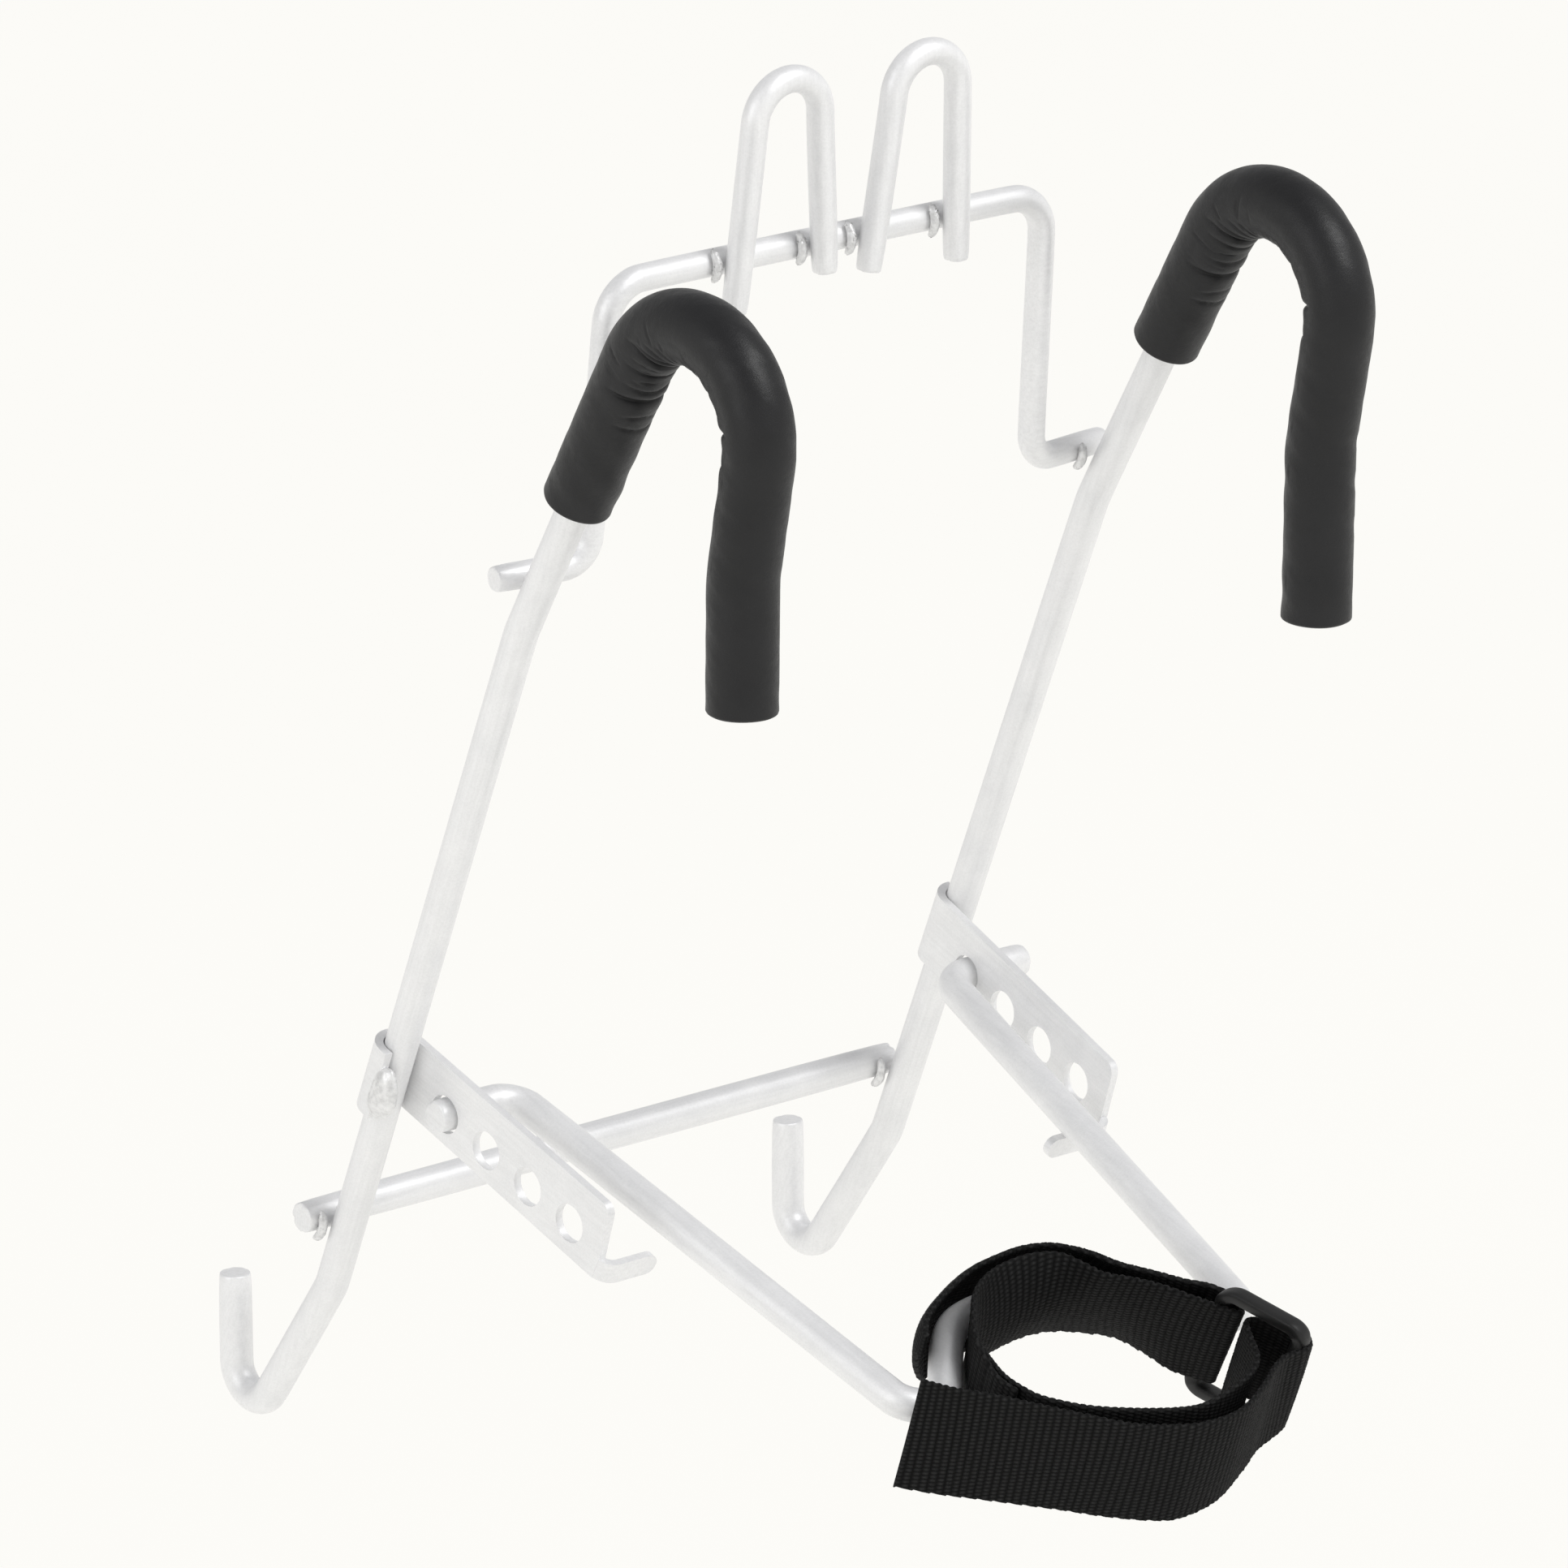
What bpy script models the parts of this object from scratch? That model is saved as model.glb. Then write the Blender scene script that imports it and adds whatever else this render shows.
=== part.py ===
"""Hanging bicycle rack: two bent side rods with padded top hooks, a welded upper frame,
and a swinging strut with a cinch strap. Metres, +Z up, -Y is the side the strut faces."""

import math

import bmesh
import bpy
import numpy as np
from mathutils import Matrix, Vector

# ---- driving dimensions -------------------------------------------------------------
GAP = 0.0003  # air left between neighbouring parts

ROD_R = 0.005  # side rods, crossbar and strut
THIN_R = 0.004  # upper frame and loops
SIDE_X = 0.105  # side rod axis to the centre plane

ROD_LEAN = math.radians(22.6)  # main run of a side rod, forward from upright
HOOK_LEAN = math.radians(35.7)  # J hook's long side
PAD_LEAN = math.radians(30.3)  # run that leads into the padded hook
TAIL_LEAN = math.radians(11.0)  # upper half of the padded hook's tail
J_LEG_Y = 0.0469  # short leg of the J hook
J_TIP_Z = -0.0095
J_BEND_R = 0.0093
TOP_BEND_R = 0.0275  # centre line of the padded hook
TOP_CENTRE = Vector((0.0, -0.1670, 0.2940))
TAIL_KINK_Z = 0.256
TAIL_END = Vector((0.0, -0.1872, 0.2240))

FOAM_R = 0.010
FOAM_START_Z = {"left": 0.2545, "right": 0.2635}
FOAM_END_Z = {"left": 0.2180, "right": 0.2040}

CROSSBAR_Z = 0.0221
CROSSBAR_ENDS = (-0.1142, 0.1070)

EAR_Z = 0.2335
EAR_ENDS = (-0.1110, 0.1120)
EAR_CORNER_X = 0.0810
EAR_SLANT = 0.146  # the ears run forward on their way in from the side rods
BAR_CORNER_X = 0.0792
BAR_Y = -0.0980
BAR_Z = 0.3148
EAR_BEND_R = 0.009
BAR_BEND_R = 0.0125

LOOP_FOOT_X = (0.0080, 0.0400)  # inner and outer foot
LOOP_LEAN = math.radians(5.0)
LOOP_TOP_X = 0.0250
LOOP_TOP_Z = 0.3667  # centre line
LOOP_BEND_R = 0.0118
LOOP_FOOT_Z = 0.3065
LOOP_FOOT_MORE = {"left": (-0.0016, 0.0050), "right": (0.0010, 0.0030)}  # inner, outer foot

PLATE_T = 0.0025
PLATE_LOW = -0.0100  # plate edges, measured from the line of holes
PLATE_HIGH = 0.0145
PLATE_FRONT = 0.0135  # plate past the last hole
PLATE_REAR = 0.0182  # side rod axis behind the first hole
HOLE_R = 0.00575
HOLE_PITCH = 0.0187
HOLE_COUNT = 4
PLATE_SLOPE = math.radians(19.5)
PLATE_TOE = math.radians(3.0)  # the plates close in towards their front
TAB_REACH = {"left": 0.0175, "right": 0.0235}  # inwards from the plate
TAB_HEIGHT = 0.0068
TAB_STEP = 0.0045  # the tab's front past the plate's front edge
TAB_BEND_R = 0.0042
WRAP_LIP = 0.0028  # the left wrap's edge past the side rod's axis
WRAP_TURN = {"left": 180.0, "right": 95.0}  # how far each plate rolls round its side rod
PIVOT = Vector((0.0, -0.0460, 0.0632))  # first hole, on the centre plane

STRUT_SLOPE = math.radians(17.5)
STRUT_REAR_X = (-0.0735, 0.0885)  # legs where they turn out into the plates
STRUT_PIN_X = (-0.1024, 0.1180)
STRUT_CORNERS = ((-0.0615, 0.1845), (0.0603, 0.1830))
STRUT_BEND_R = 0.009
YOKE_V = 0.1378  # the yoke's floor
YOKE_HALF = 0.0250
YOKE_SLOPE = 1.265  # rise of its flanks
YOKE_EASE = 0.008

STRAP_W = 0.033
STRAP_T = 0.0015
STRAP_NOTCH_H = 0.0060  # the strut leaves the strap under this height
RING_CENTRE = (0.0472, 0.1885)
RING_TURN = math.radians(16.5)
RING_SIZE = (0.031, 0.0465)
RING_BAR = (0.0050, 0.0040)
RING_LEAN = (-0.17, 0.27)  # across and along, for each unit of height over the strut's plane
LEAN_FROM_X = (0.0280, 0.0420)  # the lean of ring and strap sets in between these

SIDES = {"left": -1.0, "right": 1.0}

# Places above are measured from the lower kink of the side rods. The model's own origin
# is where the padded hooks rest: the top of their gap, midway between them.
ORIGIN = TOP_CENTRE + Vector((0.0, 0.0, TOP_BEND_R - FOAM_R))


# ---- helpers ------------------------------------------------------------------------
def clear_scene():
    for obj in list(bpy.data.objects):
        bpy.data.objects.remove(obj, do_unlink=True)


def material(name, colour, roughness, metallic=0.0):
    made = bpy.data.materials.new(name)
    made.use_nodes = True
    shader = made.node_tree.nodes["Principled BSDF"]
    shader.inputs["Base Color"].default_value = (*colour, 1.0)
    shader.inputs["Roughness"].default_value = roughness
    shader.inputs["Metallic"].default_value = metallic
    return made


def add_object(name, bm, finish):
    """Links the bmesh as an object with outward faces and smooth shading on its round faces."""
    bmesh.ops.recalc_face_normals(bm, faces=bm.faces)
    bmesh.ops.translate(bm, verts=bm.verts, vec=-ORIGIN)
    mesh = bpy.data.meshes.new(name)
    bm.to_mesh(mesh)
    bm.free()
    mesh.shade_smooth()
    mesh.set_sharp_from_angle(angle=math.radians(35))
    mesh.materials.append(finish)
    obj = bpy.data.objects.new(name, mesh)
    bpy.context.scene.collection.objects.link(obj)
    return obj


def rounded(corners, radii, step=math.radians(12)):
    """The polyline through the corners, each inner corner replaced by an arc of its radius."""
    path = [corners[0]]
    for before, corner, after, radius in zip(corners, corners[1:], corners[2:], radii):
        back = (before - corner).normalized()
        ahead = (after - corner).normalized()
        half = back.angle(ahead) / 2
        turn = math.pi - 2 * half
        if radius == 0 or turn < math.radians(0.5):
            path.append(corner)
            continue
        centre = corner + (back + ahead).normalized() * (radius / math.sin(half))
        start = corner + back * (radius / math.tan(half)) - centre
        end = corner + ahead * (radius / math.tan(half)) - centre
        axis = start.cross(end).normalized()
        count = max(2, math.ceil(turn / step))
        for i in range(count + 1):
            path.append(centre + Matrix.Rotation(turn * i / count, 3, axis) @ start)
    path.append(corners[-1])
    return path


def frames(path, closed=False):
    """Each point's two cross directions, carried along the path without twist."""
    count = len(path)
    out = []
    side = None
    for i, point in enumerate(path):
        before = path[i - 1] if closed or i > 0 else path[i]
        after = path[(i + 1) % count] if closed or i < count - 1 else path[i]
        along = ((after - point).normalized() + (point - before).normalized()).normalized()
        if side is None:
            side = along.orthogonal().normalized()
        side = (side - along * side.dot(along)).normalized()
        out.append((side.copy(), along.cross(side)))
    return out


def resampled(path, spacing):
    """The same polyline with points no further apart than the spacing."""
    out = [path[0]]
    for start, end in zip(path, path[1:]):
        count = max(1, math.ceil((end - start).length / spacing))
        out.extend(start.lerp(end, (i + 1) / count) for i in range(count))
    return out


def part_of(path, start, end):
    """The stretch of the polyline between two distances along it."""
    out = []
    walked = 0.0
    for a, b in zip(path, path[1:]):
        length = (b - a).length
        if walked <= start < walked + length:
            out.append(a.lerp(b, (start - walked) / length))
        elif out:
            out.append(a.copy())
        if walked < end <= walked + length:
            out.append(a.lerp(b, (end - walked) / length))
            return out
        walked += length
    return out


def tube_rings(bm, path, radii, sides):
    """One ring of vertices for each path point, with its own radius."""
    rings = []
    for point, radius, (side, up) in zip(path, radii, frames(path)):
        turns = (2 * math.pi * i / sides for i in range(sides))
        ring = [bm.verts.new(point + (side * math.cos(t) + up * math.sin(t)) * radius) for t in turns]
        rings.append(ring)
    return rings


def bridge(bm, low, high):
    count = len(low)
    for i in range(count):
        j = (i + 1) % count
        bm.faces.new((low[i], low[j], high[j], high[i]))


def chamfered(path, radius, chamfer):
    """The path with an extra point near each end, and the radius at every point."""
    first = path[0].lerp(path[1], min(0.9, chamfer / (path[1] - path[0]).length))
    last = path[-1].lerp(path[-2], min(0.9, chamfer / (path[-2] - path[-1]).length))
    stretched = [path[0], first, *path[1:-1], last, path[-1]]
    radii = [radius - chamfer] + [radius] * (len(stretched) - 2) + [radius - chamfer]
    return stretched, radii


def add_rod(name, path, radius, finish, sides=18, chamfer=0.0006):
    bm = bmesh.new()
    stretched, radii = chamfered(path, radius, chamfer)
    rings = tube_rings(bm, stretched, radii, sides)
    for low, high in zip(rings, rings[1:]):
        bridge(bm, low, high)
    bm.faces.new(rings[0])
    bm.faces.new(rings[-1])
    return add_object(name, bm, finish)


def add_sleeve(name, path, outer, inner, finish, sides=22, chamfer=0.0010):
    bm = bmesh.new()
    stretched, radii = chamfered(path, outer, chamfer)
    outside = tube_rings(bm, stretched, radii, sides)
    inside = tube_rings(bm, stretched, [inner] * len(stretched), sides)
    for rings in (outside, inside):
        for low, high in zip(rings, rings[1:]):
            bridge(bm, low, high)
    bridge(bm, outside[0], inside[0])
    bridge(bm, outside[-1], inside[-1])
    return add_object(name, bm, finish)


def prism(outline, start, end):
    """A closed bmesh: the outline's points moved by start and by end, joined all round."""
    bm = bmesh.new()
    low = [bm.verts.new(point + start) for point in outline]
    high = [bm.verts.new(point + end) for point in outline]
    bm.faces.new(low)
    bm.faces.new(high)
    bridge(bm, low, high)
    bmesh.ops.recalc_face_normals(bm, faces=bm.faces)
    return bm


def helper(name, bm):
    """A hidden mesh for a Boolean to use."""
    bmesh.ops.translate(bm, verts=bm.verts, vec=-ORIGIN)
    mesh = bpy.data.meshes.new(name)
    bm.to_mesh(mesh)
    bm.free()
    obj = bpy.data.objects.new(name, mesh)
    bpy.context.scene.collection.objects.link(obj)
    obj.hide_render = True
    obj.display_type = "WIRE"
    return obj


def join_or_cut(obj, other, operation):
    step = obj.modifiers.new(other.name, "BOOLEAN")
    step.operation = operation
    step.solver = "EXACT"
    step.object = other


# ---- places -------------------------------------------------------------------------
def lean(angle):
    """Upward direction of a rod that leans forward by the angle."""
    return Vector((0.0, -math.sin(angle), math.cos(angle)))


FORWARD = Vector((0.0, -1.0, 0.0))
RUN_UP = lean(ROD_LEAN)
RUN_BACK = Vector((0.0, math.cos(ROD_LEAN), math.sin(ROD_LEAN)))


def run_point(x, z, behind=0.0):
    """A point at height z on the main run's axis, then moved straight off its back."""
    on_axis = RUN_UP * (z / RUN_UP.z)
    centre = on_axis + RUN_BACK * behind
    slide = (z - centre.z) / RUN_UP.z
    return Vector((x, 0.0, 0.0)) + centre + RUN_UP * slide


def meet(a, a_dir, b, b_dir):
    """Where two lines of the Y-Z plane cross."""
    grid = np.array([[a_dir.y, -b_dir.y], [a_dir.z, -b_dir.z]])
    step = np.linalg.solve(grid, [b.y - a.y, b.z - a.z])
    return a + a_dir * float(step[0])


def side_rod_path(x):
    down = -lean(HOOK_LEAN)
    tip = Vector((0.0, J_LEG_Y, J_TIP_Z))
    kink = Vector((0.0, 0.0, 0.0))
    corner = meet(kink, down, tip, Vector((0.0, 0.0, -1.0)))
    pad_up = lean(PAD_LEAN)
    pad_forward = Vector((0.0, -math.cos(PAD_LEAN), -math.sin(PAD_LEAN)))
    into_hook = TOP_CENTRE - pad_forward * TOP_BEND_R
    upper_kink = meet(kink, RUN_UP, into_hook, pad_up)
    tail_up = lean(TAIL_LEAN)
    tail_back = Vector((0.0, math.cos(TAIL_LEAN), math.sin(TAIL_LEAN)))
    out_of_hook = TOP_CENTRE - tail_back * TOP_BEND_R
    tail_kink = out_of_hook + tail_up * ((TAIL_KINK_Z - out_of_hook.z) / tail_up.z)
    top = meet(into_hook, pad_up, out_of_hook, tail_up)
    corners = [tip, corner, kink, upper_kink, top, tail_kink, TAIL_END]
    radii = [J_BEND_R, 0.020, 0.060, TOP_BEND_R, 0.040]
    offset = Vector((x, 0.0, 0.0))
    return [point + offset for point in rounded(corners, radii)]


def sleeve_path(side):
    """The stretch of the side rod that the foam covers, past the rod's end on the tail."""
    path = side_rod_path(SIDES[side] * SIDE_X)
    beyond = (path[-1] - path[-2]).normalized()
    path.append(path[-1] + beyond * ((path[-1].z - FOAM_END_Z[side]) / -beyond.z))
    path = resampled(path, 0.012)
    walked = [0.0]
    for a, b in zip(path, path[1:]):
        walked.append(walked[-1] + (b - a).length)
    for point, distance in zip(path, walked):
        if point.y < -0.09 and point.z > FOAM_START_Z[side]:
            return part_of(path, distance, walked[-1] - 1e-7)
    return path


PLATE_AHEAD = Vector((0.0, -math.cos(PLATE_SLOPE), -math.sin(PLATE_SLOPE)))
PLATE_UP = Vector((0.0, -math.sin(PLATE_SLOPE), math.cos(PLATE_SLOPE)))
STRUT_AHEAD = Vector((0.0, -math.cos(STRUT_SLOPE), -math.sin(STRUT_SLOPE)))
STRUT_UP = Vector((0.0, -math.sin(STRUT_SLOPE), math.cos(STRUT_SLOPE)))


def on_plate(x, along, up):
    return PIVOT + Vector((x, 0.0, 0.0)) + PLATE_AHEAD * along + PLATE_UP * up


def on_strut(x, along, up=0.0):
    return PIVOT + Vector((x, 0.0, 0.0)) + STRUT_AHEAD * along + STRUT_UP * up


# ---- frame --------------------------------------------------------------------------
def build_side_rods(metal):
    for side, sign in SIDES.items():
        add_rod(f"side_rod_{side}", side_rod_path(sign * SIDE_X), ROD_R, metal)


def build_crossbar(metal):
    behind = 2 * ROD_R + GAP
    ends = [run_point(x, CROSSBAR_Z, behind) for x in CROSSBAR_ENDS]
    add_rod("crossbar", resampled(ends, 0.03), ROD_R, metal)


def ear_point(x):
    """A point of an ear's axis: it touches the back of the side rod where it crosses it."""
    crossing = run_point(x, EAR_Z, ROD_R + THIN_R + GAP)
    return crossing + FORWARD * ((SIDE_X - abs(x)) * EAR_SLANT)


def upper_frame_corners():
    left, right = EAR_ENDS
    return [
        ear_point(left),
        ear_point(-EAR_CORNER_X),
        Vector((-BAR_CORNER_X, BAR_Y, BAR_Z)),
        Vector((BAR_CORNER_X, BAR_Y, BAR_Z)),
        ear_point(EAR_CORNER_X),
        ear_point(right),
    ]


def build_upper_frame(metal):
    radii = [EAR_BEND_R, BAR_BEND_R, BAR_BEND_R, EAR_BEND_R]
    path = rounded(upper_frame_corners(), radii)
    add_rod("upper_frame", path, THIN_R, metal)


def loop_point(x, z):
    """A point of the plane that the two loops lie in, in front of the hat's bar."""
    up = lean(LOOP_LEAN)
    return Vector((x, BAR_Y - 2 * THIN_R - GAP, BAR_Z)) + up * ((z - BAR_Z) / up.z)


def loop_path(side, sign):
    """Foot, half-turn and foot: each leg runs straight off the end of the half-turn."""
    inner_x, outer_x = LOOP_FOOT_X
    centre_z = LOOP_TOP_Z - LOOP_BEND_R
    drop = centre_z - LOOP_FOOT_Z
    inner_lean = math.atan2(LOOP_TOP_X - LOOP_BEND_R - inner_x, drop)
    outer_lean = math.atan2(outer_x - LOOP_TOP_X - LOOP_BEND_R, drop)
    path = [loop_point(sign * inner_x, LOOP_FOOT_Z)]
    for i in range(17):
        turn = math.pi + inner_lean - (math.pi + inner_lean + outer_lean) * i / 16
        x = LOOP_TOP_X + LOOP_BEND_R * math.cos(turn)
        path.append(loop_point(sign * x, centre_z + LOOP_BEND_R * math.sin(turn)))
    path.append(loop_point(sign * outer_x, LOOP_FOOT_Z))
    inner_more, outer_more = LOOP_FOOT_MORE[side]
    path[0] += (path[0] - path[1]).normalized() * inner_more
    path[-1] += (path[-1] - path[-2]).normalized() * outer_more
    return path


def build_loops(metal):
    for side, sign in SIDES.items():
        add_rod(f"loop_{side}", loop_path(side, sign), THIN_R, metal)


def build_sleeves(foam):
    for side in SIDES:
        add_sleeve(f"foam_sleeve_{side}", sleeve_path(side), FOAM_R, ROD_R + GAP, foam)


# ---- latch plates -------------------------------------------------------------------
def plate_outline():
    """The plate seen from its side: the first point is at the rear, low down."""
    front = HOLE_PITCH * (HOLE_COUNT - 1) + PLATE_FRONT
    rear = -PLATE_REAR - 0.012
    corners = [
        (rear, PLATE_LOW + 0.0015),
        (front - 0.0002, PLATE_LOW),
        (front + 0.0006, PLATE_LOW + TAB_HEIGHT),
        (front, PLATE_HIGH),
        (rear, PLATE_HIGH),
        (rear, PLATE_LOW + 0.0015),
    ]
    path = rounded([Vector((a, b, 0.0)) for a, b in corners], [0.0, 0.0, 0.0035, 0.0])
    return [on_plate(0.0, point.x, point.y) for point in path[:-1]]


def tab_solid(side, sign):
    """The tongue: it bends inwards from the plate's lower front corner to a round tip."""
    front = HOLE_PITCH * (HOLE_COUNT - 1) + PLATE_FRONT + TAB_STEP - PLATE_T / 2
    start = front - TAB_BEND_R
    toe = math.tan(PLATE_TOE)
    root = SIDE_X - ROD_R - GAP - PLATE_T / 2 - (start + PLATE_REAR) * toe
    path = [(root + 0.003 * toe, start - 0.003)]
    for i in range(9):
        turn = math.pi / 2 * i / 8
        x = root - TAB_BEND_R * (1 - math.cos(turn))
        path.append((x, start + TAB_BEND_R * math.sin(turn)))
    half = TAB_HEIGHT / 2 - 0.0002
    tip = SIDE_X - ROD_R - GAP - PLATE_T / 2 - (front + PLATE_REAR) * toe - TAB_REACH[side]
    for i in range(9):
        path.append((tip + half * (1 - math.sin(math.pi / 2 * i / 8)), front))
    bm = bmesh.new()
    rings = []
    for i, (x, along) in enumerate(path):
        before, after = path[max(i - 1, 0)], path[min(i + 1, len(path) - 1)]
        way = Vector((after[0] - before[0], after[1] - before[1])).normalized()
        aside = Vector((-way.y, way.x)) * (PLATE_T / 2 - 0.00005)
        near_tip = min(1.0, (x - tip) / half)
        tall = half * max(0.12, math.sqrt(1 - (1 - near_tip) ** 2))
        ring = []
        for step, up in ((-1, -tall), (1, -tall), (1, tall), (-1, tall)):
            place_x = sign * (x + aside.x * step)
            height = PLATE_LOW + TAB_HEIGHT / 2 + up
            ring.append(bm.verts.new(on_plate(place_x, along + aside.y * step, height)))
        rings.append(ring)
    for low, high in zip(rings, rings[1:]):
        bridge(bm, low, high)
    bm.faces.new(rings[0])
    bm.faces.new(rings[-1])
    bmesh.ops.recalc_face_normals(bm, faces=bm.faces)
    return bm


def plate_stock(side, sign):
    """The strip before its outline is cut: flat in front, rolled round the back of the rod."""
    inner = ROD_R + GAP
    outer = inner + PLATE_T
    last_turn = math.radians(WRAP_TURN[side])
    turns = [last_turn * i / 14 for i in range(15)]
    outside = [(-outer * math.cos(t), outer * math.sin(t)) for t in turns]
    inside = [(-inner * math.cos(t), inner * math.sin(t)) for t in reversed(turns)]
    ahead = 0.12
    toe = ahead * math.tan(PLATE_TOE)
    section = [(-outer - toe, -ahead), *outside]
    if side == "left":
        section += [(outer, -WRAP_LIP), (inner, -WRAP_LIP)]
    section += [*inside, (-inner - toe, -ahead)]
    centre = run_point(sign * SIDE_X, PIVOT.z)
    outline = [centre + Vector((sign * a, 0.0, 0.0)) + RUN_BACK * b for a, b in section]
    return prism(outline, RUN_UP * -0.06, RUN_UP * 0.06)


def hole_solid(sign, along):
    outline = []
    for i in range(28):
        turn = 2 * math.pi * i / 28
        outline.append(on_plate(0.0, along + HOLE_R * math.cos(turn), HOLE_R * math.sin(turn)))
    return prism(outline, Vector((sign * 0.088, 0.0, 0.0)), Vector((sign * 0.1035, 0.0, 0.0)))


def build_plates(metal):
    for side, sign in SIDES.items():
        plate = add_object(f"latch_plate_{side}", plate_stock(side, sign), metal)
        reach = Vector((sign * 0.083, 0.0, 0.0)), Vector((sign * 0.125, 0.0, 0.0))
        blank = helper(f"blank_{side}", prism(plate_outline(), *reach))
        join_or_cut(plate, blank, "INTERSECT")
        join_or_cut(plate, helper(f"tab_{side}", tab_solid(side, sign)), "UNION")
        for i in range(HOLE_COUNT):
            cutter = helper(f"hole_{side}_{i}", hole_solid(sign, i * HOLE_PITCH))
            join_or_cut(plate, cutter, "DIFFERENCE")


# ---- welds --------------------------------------------------------------------------
def add_bead(name, centre, around, start, reach, spread, metal, radius=0.0012):
    """A short bead that follows a rod's surface: an arc about the rod's axis."""
    path = []
    for i in range(9):
        turn = spread * (i / 8 - 0.5)
        path.append(centre + Matrix.Rotation(turn, 3, around) @ start * reach)
    bm = bmesh.new()
    swell = [0.35, 0.8, 0.95, 1.0, 1.0, 1.0, 0.95, 0.8, 0.35]
    rings = tube_rings(bm, path, [radius * s for s in swell], 8)
    for low, high in zip(rings, rings[1:]):
        bridge(bm, low, high)
    bm.faces.new(rings[0])
    bm.faces.new(rings[-1])
    add_object(name, bm, metal)


def build_welds(metal):
    bead = 0.0012
    x_axis = Vector((1.0, 0.0, 0.0))
    for side, sign in SIDES.items():
        bar = run_point(sign * SIDE_X - ROD_R - bead, CROSSBAR_Z, 2 * ROD_R + GAP)
        add_bead(
            f"weld_crossbar_{side}", bar, x_axis, -RUN_BACK, ROD_R + GAP + bead, 1.7, metal
        )
        ear = ear_point(sign * (SIDE_X - ROD_R - bead))
        add_bead(
            f"weld_upper_frame_{side}", ear, x_axis, -RUN_BACK, THIN_R + GAP + bead, 1.7, metal
        )
        rise = (BAR_Z - LOOP_FOOT_Z) / (LOOP_TOP_Z - LOOP_BEND_R - LOOP_FOOT_Z)
        tops = (LOOP_TOP_X - LOOP_BEND_R, LOOP_TOP_X + LOOP_BEND_R)
        for which, foot, top in zip(("inner", "outer"), LOOP_FOOT_X, tops):
            x = sign * (foot + (top - foot) * rise) - THIN_R - bead - 0.0002
            centre = Vector((x, BAR_Y, BAR_Z))
            reach = THIN_R + GAP + bead
            add_bead(f"weld_loop_{side}_{which}", centre, x_axis, FORWARD, reach, 1.9, metal)
        out, behind = ROD_R + GAP + 0.0014, -0.0046
        if side == "right":
            turn = math.radians(WRAP_TURN[side] + 17.0)
            out, behind = -out * math.cos(turn), out * math.sin(turn)
        lip = run_point(sign * (SIDE_X + out), PIVOT.z + 0.008, 0.0)
        ends = [lip + RUN_BACK * behind + RUN_UP * (z * 0.001) for z in (-9, -5, 0, 5, 9)]
        add_rod(f"weld_latch_{side}", ends, bead, metal, sides=12, chamfer=0.0005)


# ---- strut --------------------------------------------------------------------------
def yoke_v(x):
    past = abs(x) - YOKE_HALF
    return YOKE_V + YOKE_SLOPE * (past + math.hypot(past, YOKE_EASE)) / 2


def strut_path():
    left, right = STRUT_REAR_X
    flank = (0.044, 0.036, 0.031, 0.0275, 0.024, 0.020, 0.014, 0.007)
    places = [-x for x in flank] + [0.0] + list(reversed(flank))
    yoke = [on_strut(x, yoke_v(x)) for x in places]
    corners = [
        on_strut(STRUT_PIN_X[0], 0.0),
        on_strut(left, 0.0),
        on_strut(*STRUT_CORNERS[0]),
        *yoke,
        on_strut(*STRUT_CORNERS[1]),
        on_strut(right, 0.0),
        on_strut(STRUT_PIN_X[1], 0.0),
    ]
    bends = [STRUT_BEND_R] * 2 + [0.0] * len(yoke) + [STRUT_BEND_R] * 2
    return rounded(corners, bends)


def build_strut(metal):
    return add_rod("strut", strut_path(), ROD_R, metal, sides=20)


# ---- strap --------------------------------------------------------------------------
def leaning(x, along, height):
    """A point of the strap or its ring: towards the ring they lean over, top forward."""
    start, full = LEAN_FROM_X
    share = min(1.0, max(0.0, (x - start) / (full - start)))
    share = share * share * (3 - 2 * share)
    across, ahead = RING_LEAN
    return on_strut(x + across * height * share, along + ahead * height * share, height)


def yoke_offset(x, reach):
    """A point of the strut's plane at a distance from the yoke's centre line."""
    step = 0.0001
    slope = math.atan((yoke_v(x + step) - yoke_v(x - step)) / (2 * step))
    return (x - reach * math.sin(slope), yoke_v(x) + reach * math.cos(slope))


def ring_point(across, along):
    """From a place beside the ring's middle to the strut's plane."""
    cos, sin = math.cos(RING_TURN), math.sin(RING_TURN)
    return (
        RING_CENTRE[0] + across * cos + along * sin,
        RING_CENTRE[1] - across * sin + along * cos,
    )


BAR_AT = (RING_SIZE[0] - RING_BAR[0]) / 2
BESIDE_TUBE = ROD_R + GAP + STRAP_T / 2
BESIDE_BAR = RING_BAR[1] / 2 + 2 * GAP + STRAP_T / 2
PAST_BAR = RING_BAR[0] / 2 + 2 * GAP + STRAP_T / 2

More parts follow.
